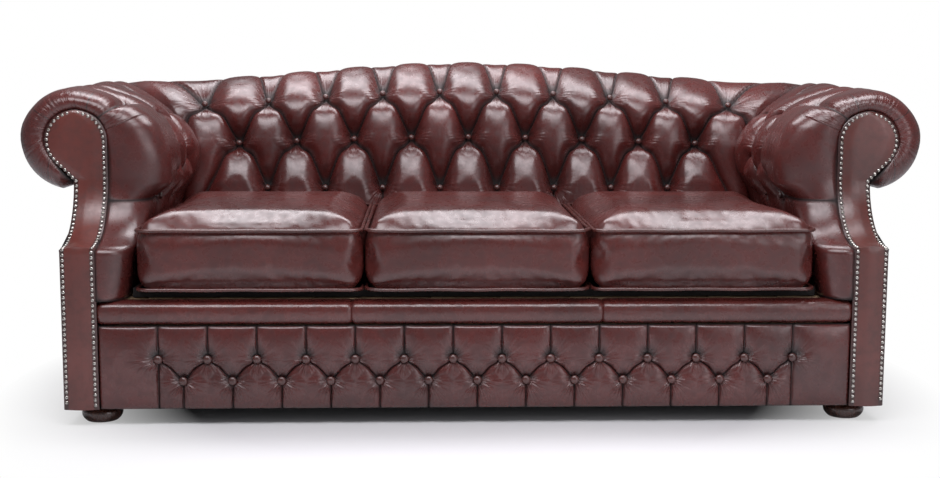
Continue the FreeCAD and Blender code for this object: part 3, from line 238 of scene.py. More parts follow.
def turned_foot(x, y):
    """A ball of wood, cut flat under and over, with a bead turned above its middle."""
    put_away()
    bpy.ops.mesh.primitive_uv_sphere_add(segments=40, ring_count=24, radius=FOOT_RADIUS,
                                         location=(x, y, FOOT_MIDDLE))
    bpy.ops.object.mode_set(mode="EDIT")
    bpy.ops.mesh.select_all(action="SELECT")
    bpy.ops.transform.resize(value=(1, 1, 0.62))
    cut_level(x, y, 0.0005, clear_inner=True)
    cut_level(x, y, FOOT_TOP, clear_outer=True)
    bpy.ops.object.mode_set(mode="OBJECT")
    foot = bpy.context.active_object
    for corner in foot.data.vertices:
        reach = math.hypot(corner.co.x, corner.co.y)
        height = corner.co.z + FOOT_MIDDLE
        if reach > 0.02 and 0.027 < height < 0.0368:
            swell = 0.0022 * math.sin(math.pi * (height - 0.027) / 0.0098)
            corner.co.x *= 1 - swell / reach
            corner.co.y *= 1 - swell / reach
    bpy.ops.object.shade_smooth_by_angle(angle=math.radians(40))
    return foot


mahogany, tree, shader = new_material("polished_mahogany", (0.035, 0.012, 0.008), 0.22)
figure = patches(tree, on_piece(tree, (40, 40, 9)), 2.5, 6, Distortion=1.2)
stained = blend_colours(tree, figure, (0.012, 0.005, 0.004), (0.075, 0.024, 0.014))
finish_with(tree, shader, Base_Color=stained, Roughness=scaled(tree, figure, 0.3, 0.7, 0.16, 0.32))
shader.inputs["Coat Weight"].default_value = 0.5
for pair, side in (("front_feet", "front"), ("rear_feet", "rear")):
    low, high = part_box(pair)
    row_y = (low[1] + high[1]) / 2
    stand = (high[0] - low[0]) / 2 - FOOT_RADIUS
    feet = finished(joined([turned_foot(x, row_y) for x in (-stand, stand)]), f"{side}_bun_feet", mahogany)
    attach(feet, "sofa")
    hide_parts(pair)


# Under the base: the zinc-plated steel bolts and tee nuts of the feet, and a lining of thin black cloth,
# tacked to the rails to keep dust out.

zinc, tree, shader = new_material("zinc_plated_steel", (0.55, 0.56, 0.57), 0.35)
shader.inputs["Metallic"].default_value = 1.0
wear = patches(tree, on_piece(tree), 180, 4)
finish_with(tree, shader, Roughness=scaled(tree, wear, 0.3, 0.7, 0.28, 0.5))
dress(zinc, "foot_bolts", "foot_tee_nuts")


def woven(name, dark, light, pitch, roughness):
    """A plain weave: two sets of threads at right angles, over and under."""
    cloth, tree, shader = new_material(name, dark, roughness)
    waves = [("Vector", on_piece(tree)), ("Scale", pitch), ("Distortion", 0.6), ("Detail", 2)]
    warp = node(tree, "ShaderNodeTexWave", waves, bands_direction="X").outputs["Fac"]
    weft = node(tree, "ShaderNodeTexWave", waves, bands_direction="Y").outputs["Fac"]
    over = reckoned(tree, "MULTIPLY", warp, weft)
    finish_with(tree, shader, Base_Color=blend_colours(tree, over, dark, light),
                Normal=raised(tree, over, 0.5, 0.0006))
    return cloth


dress(woven("black_lining_cloth", (0.008, 0.008, 0.009), (0.03, 0.03, 0.033), 220, 0.9), "dust_cover")


# The seat's suspension: jute webbing strained both ways over the rails, and a platform of board and black
# cloth on which the three cushions lie.

dress(woven("jute_webbing", (0.20, 0.13, 0.07), (0.46, 0.34, 0.20), 120, 0.85),
      "seat_webbing_lengthwise", "seat_webbing_crosswise")
dress(woven("platform_cloth", (0.010, 0.009, 0.009), (0.035, 0.030, 0.028), 180, 0.9), "seat_deck")


# The deep-buttoned back: oxblood leather over a thick layer of hair and wadding, pulled down to the frame by
# covered buttons, its slack laid in pleats that run from button to button, over the roll and down behind it.

HALF_INNER = 0.752
BUTTON_LINE = 0.21823
SCROLL_X = 0.915
BACK_ROLL_Y = 0.34423
ARM_ROLL = 0.097
ARM_ROLL_Z = 0.617
BACK_ROLL = 0.080
BACK_ROLL_Z = 0.702
BACK_LOW = 0.468
CREST = BACK_ROLL_Z + BACK_ROLL
SIDE_OF_ARM = 0.904
PAD_BOTTOM = 0.276
SLANT = math.sqrt(0.5)
ROWS = [0, 1, 2, 3, 3.5, 4, 4.5, 5]
ARM_X = [HALF_INNER + 0.020, HALF_INNER, HALF_INNER - 0.002, SCROLL_X - ARM_ROLL, SCROLL_X,
         SCROLL_X + ARM_ROLL * SLANT, SCROLL_X + ARM_ROLL, SIDE_OF_ARM + 0.0004]
ARM_Z = [PAD_BOTTOM, 0.484, 0.592, 0.684, 0.714, ARM_ROLL_Z + ARM_ROLL * SLANT, ARM_ROLL_Z, 0.520]
TILT = math.radians(10)
BACK_RAKE = 0.18
BACK_Y = [BUTTON_LINE - BACK_RAKE * (BACK_LOW - PAD_BOTTOM), BUTTON_LINE, BUTTON_LINE + BACK_RAKE * 0.132,
          BACK_ROLL_Y - BACK_ROLL * math.cos(TILT), BACK_ROLL_Y, BACK_ROLL_Y + BACK_ROLL * SLANT,
          BACK_ROLL_Y + BACK_ROLL, BACK_ROLL_Y + 0.010]
BACK_Z = [PAD_BOTTOM, BACK_LOW, 0.600, BACK_ROLL_Z + BACK_ROLL * math.sin(TILT), CREST,
          BACK_ROLL_Z + BACK_ROLL * SLANT, BACK_ROLL_Z, 0.622]
CROWN_FALL = 0.049
BACK_END = 10
FINE = 24
COARSE = 8


def along(values, row):
    """A smooth curve through one value for each entry of ROWS, read at an array of rows."""
    knots, values = np.array(ROWS), np.array(values)
    count = np.arange(len(ROWS))
    index = np.clip(np.searchsorted(knots, row + 1e-9, side="right") - 1, 0, len(ROWS) - 2)
    before, after = np.maximum(count - 1, 0), np.minimum(count + 1, len(ROWS) - 1)
    slopes = (values[after] - values[before]) / (knots[after] - knots[before])
    width = knots[index + 1] - knots[index]
    t = (row - knots[index]) / width
    start = values[index] * (2 * t**3 - 3 * t**2 + 1) + slopes[index] * width * (t**3 - 2 * t**2 + t)
    return start + values[index + 1] * (3 * t**2 - 2 * t**3) + slopes[index + 1] * width * (t**3 - t**2)


def crest_fall(x, z):
    """How much lower the back lies at x than in its middle."""
    share = np.clip((z - BACK_LOW) / (CREST - BACK_LOW), 0, 1)
    return CROWN_FALL * share * (1 - np.cos(np.pi * np.minimum(np.abs(x) / (HALF_INNER + ARM_ROLL), 1))) / 2


def stacked(x, y, z):
    """Points from their three coordinates, spread out over one grid."""
    return np.stack(np.broadcast_arrays(x, y, z), axis=-1).astype(float)


def back_surface(column, row):
    """The surface under the buttons of the back, from mitre to mitre."""
    past = np.clip(np.abs(column) - BACK_END + 2, 0, None) / 2
    x = HALF_INNER / BACK_END * column + np.sign(column) * (along(ARM_X, row) - HALF_INNER) * past**2
    z = along(BACK_Z, row)
    return stacked(x, along(BACK_Y, row), z - crest_fall(x, z))


def pleats_between(buttons, top_row, extra):
    """The folds of a buttoned pad: slanting ones between neighbouring buttons, and the extra ones given."""
    folds = list(extra)
    for column, row in buttons:
        for aside in (-1, 1):
            if row < top_row and (column + aside, row + 1) in buttons:
                folds.append(((column, row), (column + aside, row + 1)))
    return folds


def stuffed(columns, rows, folds, tacked, spacing):
    """How full a pad is, from 0 at its pleats and tack lines to 1 in the middle of a diamond.

    The leather swells like a skin held down along its pleats: the skin is worked out on a coarse grid first.
    """
    full = None
    for fine in (6, 12, FINE):
        c = np.linspace(columns[0], columns[-1], int((columns[-1] - columns[0]) * fine) + 1)[:, None]
        r = np.linspace(rows[0], rows[-1], int((rows[-1] - rows[0]) * fine) + 1)[None, :]
        held = tacked(c, r)
        for (c1, r1), (c2, r2) in folds:
            steps = int(round(max(abs(c2 - c1), abs(r2 - r1)) * fine))
            for step in range(steps + 1):
                i = int(round((c1 + (c2 - c1) * step / steps - columns[0]) * fine))
                k = int(round((r1 + (r2 - r1) * step / steps - rows[0]) * fine))
                if 0 <= i < held.shape[0] and 0 <= k < held.shape[1]:
                    held[i, k] = True
        if full is None:
            full = np.zeros(held.shape)
        full = np.repeat(np.repeat(full, 2, axis=0), 2, axis=1)[:held.shape[0], :held.shape[1]]
        across, up = (fine / spacing[0]) ** 2, (fine / spacing[1]) ** 2
        for _ in range(500):
            edge = np.pad(full, 1, mode="edge")
            full = (across * (edge[2:, 1:-1] + edge[:-2, 1:-1]) + up * (edge[1:-1, 2:] + edge[1:-1, :-2]) + 1)
            full /= 2 * (across + up)
            full[held] = 0
    return c, r, full


def near_buttons(c, r, buttons, spacing):
    """For each place: how far the nearest button is, and which one it is."""
    nearest = np.full(np.broadcast(c, r).shape, 9.0)
    which = np.zeros(nearest.shape, int)
    for index, (column, row) in enumerate(buttons):
        away = np.hypot((c - column) * spacing[0], (r - row) * spacing[1])
        which[away < nearest] = index
        nearest = np.minimum(nearest, away)
    return nearest, which


def pinched(c, r, buttons, spacing, reach):
    """The funnel above each button, into which the foot of a pillow is drawn: 1 in its middle, 0 away."""
    drawn = np.zeros(np.broadcast(c, r).shape)
    for column, row in buttons:
        away = np.hypot((c - column) * spacing[0], ((r - row) * spacing[1] - 0.6 * reach) * 0.8)
        drawn = np.maximum(drawn, np.exp(-(away / reach) ** 2))
    return drawn


def slit(skin, c, r, ends):
    """True on the line of a pleat, where the leather is tucked in deep, but not on the pad's own edges."""
    return (skin <= 0) & (r > 0.02) & (r < ends[1] - 0.02) & (np.abs(c) < ends[0] - 0.02)


def directions(surface):
    """Unit vectors across, up and square to a grid of points."""
    across, up = np.gradient(surface, axis=0), np.gradient(surface, axis=1)
    square = np.cross(across, up)
    for way in (across, up, square):
        way /= np.maximum(np.linalg.norm(way, axis=-1, keepdims=True), 1e-9)
    return across, up, square


def sewn(name, points, faces):
    """An object from its points and faces, smoothly shaded."""
    mesh = bpy.data.meshes.new(name)
    mesh.from_pydata(points.tolist(), [], faces)
    mesh.polygons.foreach_set("use_smooth", [True] * len(mesh.polygons))
    mesh.update()
    piece = bpy.data.objects.new(name, mesh)
    bpy.context.scene.collection.objects.link(piece)
    return piece


def upholstered(name, outer, inner, fullness, corner_maps, turned_over):
    """A closed pad: its leather as a fine grid, its underside as a coarse one, and the rim between them."""
    wide, tall = outer.shape[:2]
    number = np.arange(wide * tall).reshape(wide, tall)
    corners = [number[:-1, :-1], number[1:, :-1], number[1:, 1:], number[:-1, 1:]]
    heights = [fullness[:-1, :-1] + fullness[1:, 1:], fullness[1:, :-1] + fullness[:-1, 1:]]
    other = (heights[1] < heights[0])[..., None]
    first = np.where(other, np.stack([corners[1], corners[2], corners[3]], -1), np.stack(corners[:3], -1))
    second = np.where(other, np.stack([corners[1], corners[3], corners[0]], -1),
                      np.stack([corners[0], corners[2], corners[3]], -1))
    triangles = [tuple(face) for half in (first, second) for face in half.reshape(-1, 3).tolist()]
    shown = len(triangles)
    low_number = wide * tall + np.arange(((wide - 1) // COARSE + 1) * ((tall - 1) // COARSE + 1)).reshape(
        (wide - 1) // COARSE + 1, -1)
    for i in range(low_number.shape[0] - 1):
        for k in range(low_number.shape[1] - 1):
            a, b = int(low_number[i, k]), int(low_number[i + 1, k])
            c, d = int(low_number[i + 1, k + 1]), int(low_number[i, k + 1])
            triangles += [(a, c, b), (a, d, c)]
    rim = [(i, 0) for i in range(wide)] + [(wide - 1, k) for k in range(1, tall)]
    rim += [(i, tall - 1) for i in range(wide - 2, -1, -1)] + [(0, k) for k in range(tall - 2, 0, -1)]
    for (i, k), (i2, k2) in zip(rim, rim[1:] + rim[:1]):
        a, b = int(number[i, k]), int(number[i2, k2])
        under_a, under_b = (int(low_number[n // COARSE, m // COARSE]) for n, m in ((i, k), (i2, k2)))
        triangles.append((a, under_a, b))
        if under_a != under_b:
            triangles.append((b, under_a, under_b))
    if turned_over:
        triangles = [face[::-1] for face in triangles]
    points = np.concatenate([outer.reshape(-1, 3), inner[::COARSE, ::COARSE].reshape(-1, 3)])
    piece = sewn(name, points, triangles)
    mesh = piece.data
    full = np.zeros(len(points), np.float32)
    full[:wide * tall] = fullness.reshape(-1)
    mesh.attributes.new("fullness", "FLOAT", "POINT").data.foreach_set("value", full)
    corner = np.zeros(len(mesh.loops), np.int32)
    mesh.loops.foreach_get("vertex_index", corner)
    for map_name, place_of in corner_maps.items():
        drawn = np.full((len(mesh.loops), 2), 1.0, np.float32)
        drawn[:shown * 3] = place_of(corner[:shown * 3].reshape(-1, 3), tall).reshape(-1, 2)
        mesh.uv_layers.new(name=map_name).data.foreach_set("uv", drawn.reshape(-1))
    return piece


def gather_map(c, r, buttons, which, spacing):
    """Each facet's place measured from its nearest button, so that its leather can be gathered towards it and
    painted with shade in the pit above it.
    """
    columns = np.broadcast_to(c, which.shape).reshape(-1)
    rows = np.broadcast_to(r, which.shape).reshape(-1)
    button = np.array(buttons, float)

    def place_of(faces, tall):
        chosen = button[which.reshape(-1)[faces[:, 0]]][:, None, :]
        aside = (columns[faces] - chosen[..., 0]) * spacing[0]
        above = (rows[faces] - chosen[..., 1]) * spacing[1]
        far = (np.hypot(aside, above).max(axis=1) > 0.075)[:, None]
        return np.stack([np.where(far, 1.0, aside), np.where(far, 1.0, above)], -1)

    return place_of


def fold_arch(c, r, lowest, highest, bow=0.15):
    """How far the pleats bow upwards between two buttons."""
    inside = (r > lowest) & (r < highest)
    return np.where(inside, bow * (np.sin(np.pi * c) * np.sin(np.pi * r)) ** 2, 0)


def oxblood(name, base, dark, gloss, tufted=False, creased=0.3, bordered=False, edged=False):
    """Antiqued leather: a dark finish in random patches, and painted shade in the pleats, where the finish is
    also darker, and in the pit above each button.

    Tufted leather is gathered towards its buttons, bordered leather has tucks and cross seams round a scroll,
    and edged leather is dark along its edges.
    """
    material, tree, shader = new_material(name, base, gloss)
    place = on_piece(tree)
    cloudy, mottle = patches(tree, place, 5, 4), patches(tree, place, 60, 5)
    worn = tuple(min(value * 1.8, 1) for value in base)
    colour = blend_colours(tree, scaled(tree, cloudy, 0.35, 0.7), base, worn)
    colour = blend_colours(tree, scaled(tree, mottle, 0.45, 0.75, 0, 0.35), colour, dark)
    if tufted or edged:
        # Darker where the fullness attribute is low: painted shade in the pleats, pits and tack lines of
        # buttoned pads, where the antique finish is also darker; on the facings, along their edges.
        full = node(tree, "ShaderNodeAttribute", attribute_name="fullness").outputs["Fac"]
        colour = blend_colours(tree, scaled(tree, full, 0.02, 0.36, 1.0, 0.0), colour, dark)
    rough = scaled(tree, mottle, 0.3, 0.7, gloss - 0.05, gloss + 0.08)
    if tufted:
        rough = reckoned(tree, "ADD", rough, scaled(tree, full, 0.02, 0.30, 0.65, 0.0))
    pebbles = [("Vector", place), ("Scale", 520)]
    pebbles = node(tree, "ShaderNodeTexVoronoi", pebbles, feature="DISTANCE_TO_EDGE").outputs[0]
    grain = raised(tree, pebbles, 0.25, 0.0004)
    lines = patches(tree, on_piece(tree, (14, 14, 46)), 1.6, 5, Distortion=0.8)
    relief = raised(tree, lines, creased, 0.0022, grain)
    if tufted:
        drawn = node(tree, "ShaderNodeUVMap", uv_map="gathers").outputs[0]
        parts = node(tree, "ShaderNodeSeparateXYZ", [(0, drawn)])
        away = node(tree, "ShaderNodeVectorMath", [(0, drawn)], operation="LENGTH").outputs["Value"]
        below = reckoned(tree, "MULTIPLY", parts.outputs[1], -1.0)
        angle = reckoned(tree, "ARCTAN2", parts.outputs[0], below)
        spread = node(tree, "ShaderNodeCombineXYZ", [(0, angle), (1, away)]).outputs[0]
        rays = patches(tree, spread, 5.5, 2, Roughness=0.6)
        # Painted shade in the pit just above each button, fading out by 26 mm from it.
        near, above = scaled(tree, away, 0.009, 0.026, 1, 0), scaled(tree, below, -0.006, 0.002, 1, 0)
        colour = blend_colours(tree, reckoned(tree, "MULTIPLY", near, above), colour, dark)
        reach, under = scaled(tree, away, 0.010, 0.060, 1, 0), scaled(tree, below, -0.012, 0.012, 0.35, 1)
        pull = reckoned(tree, "MULTIPLY", reckoned(tree, "MULTIPLY", reach, under), rays)
        relief = raised(tree, pull, 0.9, 0.009, relief)
    if bordered:
        drawn = node(tree, "ShaderNodeUVMap", uv_map="border").outputs[0]
        parts = node(tree, "ShaderNodeSeparateXYZ", [(0, drawn)])
        gathered = node(tree, "ShaderNodeMapping", [("Vector", drawn), ("Scale", (150, 1.2, 1))]).outputs[0]
        on_band = scaled(tree, parts.outputs[1], 0.55, 1.0, 1, 0)
        tucked = reckoned(tree, "MULTIPLY", patches(tree, gathered, 1.0, 3), on_band)
        relief = raised(tree, tucked, 0.8, 0.004, relief)
        joins = scaled(tree, reckoned(tree, "PINGPONG", parts.outputs[0], 0.058), 0.0004, 0.0016, 0.9, 0)
        colour = blend_colours(tree, reckoned(tree, "MULTIPLY", joins, on_band), colour, dark)
    finish_with(tree, shader, Base_Color=colour, Roughness=rough, Normal=relief)
    shader.inputs["Specular IOR Level"].default_value = 0.75
    return material


OXBLOOD = (0.052, 0.0092, 0.0080)
# The dark colour of the finish's random patches, and of the painted shade in pleats and pits.
DARK_FINISH_AND_SHADE = (0.007, 0.0025, 0.0025)
back_leather = oxblood("back_leather", OXBLOOD, DARK_FINISH_AND_SHADE, 0.28, tufted=True, creased=0.09)

PUFF = 0.55
LEAN_UP = 0.28
DRAWN_IN = 0.72
BUTTON_DIP = 0.030
BACK_SPACING = (0.0752, 0.120)
back_buttons = [(c, r) for r in (1, 2, 3, 4) for c in range(-9, 10)
                if (abs(c) + r) % 2 == 0 and (abs(c), r) != (9, 1)]
back_folds = [((c, 0), (c, 1)) for c in range(-7, 8, 2)] + [((c, 4), (c, 5)) for c in range(-8, 9, 2)]
for side in (-1, 1):
    back_folds += [((8 * side, 2), (BACK_END * side, 0)), ((9 * side, 3), (BACK_END * side, 2)),
                   ((9 * side, 3), (BACK_END * side, 4))]
back_folds = pleats_between(back_buttons, 4, back_folds)
c, r, skin = stuffed((-BACK_END, BACK_END), (0, 5), back_folds,
                     lambda c, r: (np.abs(c) >= BACK_END) | (r <= 0) | (r >= 5), BACK_SPACING)
skin = np.minimum(skin / skin[int((BACK_END + 1) * FINE), 2 * FINE], 1.3)
full = skin ** PUFF
away, which = near_buttons(c, r, back_buttons, BACK_SPACING)
surface = back_surface(c, r + fold_arch(c, r, 1, 4))
_, up, square = directions(surface)
loft = np.interp(r, [0, 1, 2.5, 3.3, 5], [0.016, 0.034, 0.033, 0.013, 0.012]) * full
edge = np.clip(np.minimum(np.minimum(BACK_END - np.abs(c), r), 5 - r) * 4, 0, 1)
seat_of_folds = np.interp(r, [0, 2.6, 3.3, 5], [0.012, 0.012, 0.006, 0.006])
seat_of_folds = seat_of_folds * (1 - np.exp(-(away / BUTTON_DIP) ** 2)) * edge
funnel = pinched(c, r, back_buttons, BACK_SPACING, 0.021)
wedge = np.exp(-(np.abs(c % 2 - 1) / 0.5) ** 2) * np.clip((r - 3) * 2, 0, 1)
loft = loft * (1 - DRAWN_IN * funnel) * (1 - 0.85 * wedge)
seat_of_folds = seat_of_folds - 0.009 * slit(skin, c, r, (BACK_END, 5)) - 0.006 * funnel * edge
outer = surface + square * (seat_of_folds + loft)[..., None] + up * (LEAN_UP * loft * edge)[..., None]
inner = surface - square * 0.024
inner[..., 2] = np.maximum(inner[..., 2], PAD_BOTTOM)
outer[..., 2] = np.maximum(outer[..., 2], PAD_BOTTOM)
back = upholstered("buttoned_back", outer, inner, np.minimum(full, 1),
                   {"gathers": gather_map(c, r, back_buttons, which, BACK_SPACING)}, False)
back.data.materials.append(back_leather)
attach(back, "sofa")
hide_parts("back_pad")


# The buttons of the back: metal shells, each covered with a disc of the same leather and pulled down to the
# frame on waxed twine.

def low_dome(radius, rise, below, segments, rings, smoothed):
    """A flat dome: a ball cut off at a share of its radius below its middle, then pressed flatter."""
    put_away()
    bpy.ops.mesh.primitive_uv_sphere_add(segments=segments, ring_count=rings, radius=radius)
    bpy.ops.object.mode_set(mode="EDIT")
    cut_level(0, 0, -radius * below, clear_inner=True)
    bpy.ops.mesh.select_all(action="SELECT")
    bpy.ops.transform.resize(value=(1, 1, rise))
    bpy.ops.object.mode_set(mode="OBJECT")
    bpy.ops.object.shade_smooth_by_angle(angle=math.radians(smoothed))
    return bpy.context.active_object


def covered_button(radius, rise):
    return low_dome(radius, rise / radius, 0.35, 16, 10, 60)


def set_out(pattern, name, places, ways, material):
    """Copies of one small piece, each standing square on its place, as one object."""
    copies = []
    for spot, way in zip(places, ways):
        copy = pattern.copy()
        copy.data = pattern.data.copy()
        bpy.context.scene.collection.objects.link(copy)
        turn = Vector(way).to_track_quat("Z", "Y").to_matrix().to_4x4()
        copy.matrix_world = Matrix.Translation(Vector(spot)) @ turn
        copies.append(copy)
    bpy.data.objects.remove(pattern)
    return finished(joined(copies), name, material)


def grid_place(surface_grid, square_grid, c, r, column, row):
    """The place on a grid under a button, and the way square to it."""
    i = int(round((column - c[0, 0]) * FINE))
    k = int(round((row - r[0, 0]) * FINE))
    return surface_grid[i, k], square_grid[i, k]


BUTTON, BUTTON_RISE, BUTTON_SEAT = 0.008, 0.0065, 0.009
button_leather = oxblood("button_leather", (0.048, 0.013, 0.011), DARK_FINISH_AND_SHADE, 0.26, creased=0.1)
spots = [grid_place(surface, square, c, r, *button) for button in back_buttons]
seats, ways = [spot + way * BUTTON_SEAT for spot, way in spots], [way for _, way in spots]
buttons = set_out(covered_button(BUTTON, BUTTON_RISE), "back_covered_buttons", seats, ways, button_leather)
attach(buttons, "sofa")
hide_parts("back_buttons")


# The scroll arms: the same buttoned leather, carried over each roll, with a rounded border in front that is
# gathered round the facing and stitched across in a few places. The left arm is the right one's mirror image.

FRONT = -0.43777
KNEE = 0.392
SWEEP = 0.146
FIRST_COLUMN = FRONT + 0.315
ARM_END = 6
ARM_STEP = (BUTTON_LINE - FIRST_COLUMN) / (ARM_END - 1)
BAND = 0.060
SCROLL = 0.070
FACING_IN = 0.828
SCROLL_MID = FACING_IN + SCROLL
TUCK = math.radians(-50)
FACING_X = [FACING_IN, FACING_IN, FACING_IN, SCROLL_MID - SCROLL * SLANT, SCROLL_MID,
            SCROLL_MID + SCROLL * SLANT, SCROLL_MID + SCROLL, SCROLL_MID + SCROLL * math.cos(TUCK)]
FACING_Z = [PAD_BOTTOM, *ARM_Z[1:3], ARM_ROLL_Z + SCROLL * SLANT, ARM_ROLL_Z + SCROLL,
            ARM_ROLL_Z + SCROLL * SLANT, ARM_ROLL_Z, ARM_ROLL_Z + SCROLL * math.sin(TUCK)]
BORDER_STEPS = 16
UNDERSIDE_X, UNDERSIDE_RADIUS = 0.917, 0.1135


def facing_y(z):
    """The front of the arm in side view: upright, a hollow sweep above the knee, then upright again."""
    down = np.clip(KNEE + SWEEP - z, 0, SWEEP)
    return np.where(z < KNEE, FRONT, FRONT + np.sqrt(np.maximum(SWEEP**2 - down**2, 0)))


def arm_surface(column, row):
    """The surface under the buttons of the right arm, rising to meet the back in a mitre."""
    x, front_z = along(ARM_X, row), along(ARM_Z, row)
    mitre_y, mitre_z = along(BACK_Y, row), along(BACK_Z, row)
    mitre_z = mitre_z - crest_fall(x, mitre_z)
    begin = facing_y(front_z) + BAND
    y = FIRST_COLUMN + (column - 1) * ARM_STEP
    y = y + np.where(column < 1, (begin - FIRST_COLUMN + ARM_STEP) * (1 - column) ** 2, 0)
    y = y + (mitre_y - BUTTON_LINE) * (np.clip(column - ARM_END + 2, 0, None) / 2) ** 2
    share = np.clip((y - begin) / (mitre_y - begin), 0, 1)
    return stacked(x, y, front_z + (mitre_z - front_z) * share)


ARM_SPACING = (0.0682, 0.105)
arm_buttons = [(c, r) for r in (1, 2, 3, 4) for c in range(1, 6) if (c + r) % 2 == 0 and (c, r) != (5, 1)]
arm_folds = [((0, 1), (1, 1)), ((0, 3), (1, 3)), ((4, 2), (6, 0)), ((5, 3), (6, 2)), ((5, 3), (6, 4))]
arm_folds += [((3, 0), (3, 1)), ((2, 4), (2, 5)), ((4, 4), (4, 5))]
arm_folds = pleats_between(arm_buttons, 4, arm_folds)
c, r, skin = stuffed((0, ARM_END), (0, 5), arm_folds,
                     lambda c, r: (c >= ARM_END) | (r <= 0) | (r >= 5), ARM_SPACING)
skin = np.minimum(skin / skin[3 * FINE, 2 * FINE], 1.25)
full = skin ** PUFF
beneath = np.clip((5 - r) / 0.5, 0, 1) ** 0.4 * np.clip((r - 4) * 3, 0, 1) * np.clip(1.4 - c, 0, 1)
full = np.maximum(full, beneath)
away, which = near_buttons(c, r, arm_buttons, ARM_SPACING)
surface = arm_surface(c, r + fold_arch(c, r, 1, 4) * np.clip(c, 0, 1))
_, up, square = directions(surface)
square = -square
loft = full * np.interp(r, [0, 0.6, 0.95, 1.3, 2.4, 3.2, 4.2, 4.7, 5],
                        [0.002, 0.004, 0.007, 0.034, 0.034, 0.013, 0.009, 0.026, 0.036])
edge = np.clip(np.minimum(np.minimum(ARM_END - c, r), 5 - r) * 4, 0, 1)
seat_of_folds = 0.012 * (1 - np.exp(-(away / BUTTON_DIP) ** 2)) * edge
low_part = np.interp(r, [0, 0.7, 1.1, 2.6, 3.3, 5], [0.1, 0.3, 1, 1, 0.6, 0.6])
funnel = pinched(c, r, arm_buttons, ARM_SPACING, 0.020)
loft = loft * (1 - DRAWN_IN * funnel)
tucked = 0.008 * slit(skin, c, r, (ARM_END, 5)) + 0.006 * funnel * edge
seat_of_folds = seat_of_folds - tucked * np.clip(c * 4, 0.3, 1)
outer = surface + square * (seat_of_folds * low_part + loft)[..., None]
outer = outer + up * (LEAN_UP * loft * edge * np.clip(c * 1.5, 0, 1))[..., None]
inner = surface - square * 0.022
round_x, round_z = outer[..., 0] - UNDERSIDE_X, outer[..., 2] - ARM_ROLL_Z
turn = np.arctan2(round_z, round_x)
begins = turn[0, np.searchsorted(r[0], 4.1)]
turn = np.interp(r, [4.1, 4.9], [begins, math.radians(-78)])
under_roll = np.clip((r - 4.05) * 2.5, 0, 1) * np.clip((5 - r) / 0.06, 0, 1) * np.clip((1.6 - c) / 0.6, 0, 1)
outer[..., 0] += under_roll * (UNDERSIDE_RADIUS * np.cos(turn) - round_x)
outer[..., 2] += under_roll * (UNDERSIDE_RADIUS * np.sin(turn) - round_z)
share = np.linspace(0, 1, BORDER_STEPS + 1)[:-1, None]
rows = r[0]
edge_x, edge_z = along(FACING_X, rows), along(FACING_Z, rows)
brim = outer[0]
begin = surface[0, :, 1] - BAND
swing, drop = np.sin(share * np.pi / 2), 1 - np.cos(share * np.pi / 2)
rolled = 0.006 * (1 - share) ** 4 - 0.011 * np.sin(share**0.7 * np.pi)
rolled = np.interp(rows, [0, 1.2, 2.4, 5], [0.1, 0.4, 1, 1]) * rolled
border = np.stack([edge_x + (brim[:, 0] - edge_x) * swing, begin + (brim[:, 1] - begin) * drop + rolled,
                   edge_z + (brim[:, 2] - edge_z) * swing], -1)
under = np.stack([edge_x, begin + 0.0224, edge_z], -1)
under = under[None] + (inner[0] - under)[None] * share[..., None]
travelled = np.cumsum(np.hypot(np.gradient(edge_x), np.gradient(edge_z)) * 1.35)
outer, inner = np.concatenate([border, outer]), np.concatenate([under, inner])
for skin_part in (outer, inner):
    skin_part[..., 2] = np.maximum(skin_part[..., 2], PAD_BOTTOM)
full_all = np.concatenate([np.repeat(full[:1], BORDER_STEPS, axis=0), full])
# Painted shade: the border's fullness falls towards the facing, so the leather is painted dark in the valley
# beside the nails.
full_all[:BORDER_STEPS] *= np.clip(0.1 + share * 5, 0, 1)
which_all = np.concatenate([np.repeat(which[:1], BORDER_STEPS, axis=0), which])
c_all = np.concatenate([share - 1, c])


def border_map(faces, tall):
    """How far round the border and how far back from the facing a facet lies; 1 and over is off it."""
    back_from_facing = np.where(rows[faces % tall] < 2.6, 1.0, (faces // tall) / BORDER_STEPS)
    return np.stack([travelled[faces % tall], back_from_facing], -1)


arm_leather = oxblood("arm_leather", OXBLOOD, DARK_FINISH_AND_SHADE, 0.28, tufted=True, creased=0.09, bordered=True)
arm_maps = {"gathers": gather_map(c_all, r, arm_buttons, which_all, ARM_SPACING), "border": border_map}
for side, name in ((1, "right"), (-1, "left")):
    flip = np.array([side, 1, 1])
    arm = upholstered(f"{name}_buttoned_arm", outer * flip, inner * flip, np.minimum(full_all, 1), arm_maps,
                      side == 1)
    arm.data.materials.append(arm_leather)
    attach(arm, "sofa")
    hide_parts(f"{name}_arm_pad")
    spots = [grid_place(surface, square, c, r, *button) for button in arm_buttons]
    seats, ways = [(spot + way * BUTTON_SEAT) * flip for spot, way in spots], [way * flip for _, way in spots]
    buttons = set_out(covered_button(BUTTON, BUTTON_RISE), f"{name}_arm_covered_buttons", seats, ways,
                      button_leather)
    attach(buttons, "sofa")
    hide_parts(f"{name}_arm_buttons")


# The facings: shaped boards on the fronts of the arms, padded thinly and covered with one piece of leather
# that is drawn tight from the plinth, over the hollow sweep, into the scroll. The nails hold its edges.

FACING_LOW = 0.0375
NECK = ARM_ROLL_Z + SCROLL * math.sin(TUCK)
NECK_X = SCROLL_MID + SCROLL * math.cos(TUCK)
NECK_FOOT = NECK - (NECK_X - SIDE_OF_ARM) / math.tan(-TUCK)
facing_leather = oxblood("facing_leather", (0.068, 0.0140, 0.0105), DARK_FINISH_AND_SHADE, 0.34, edged=True, creased=0.1)


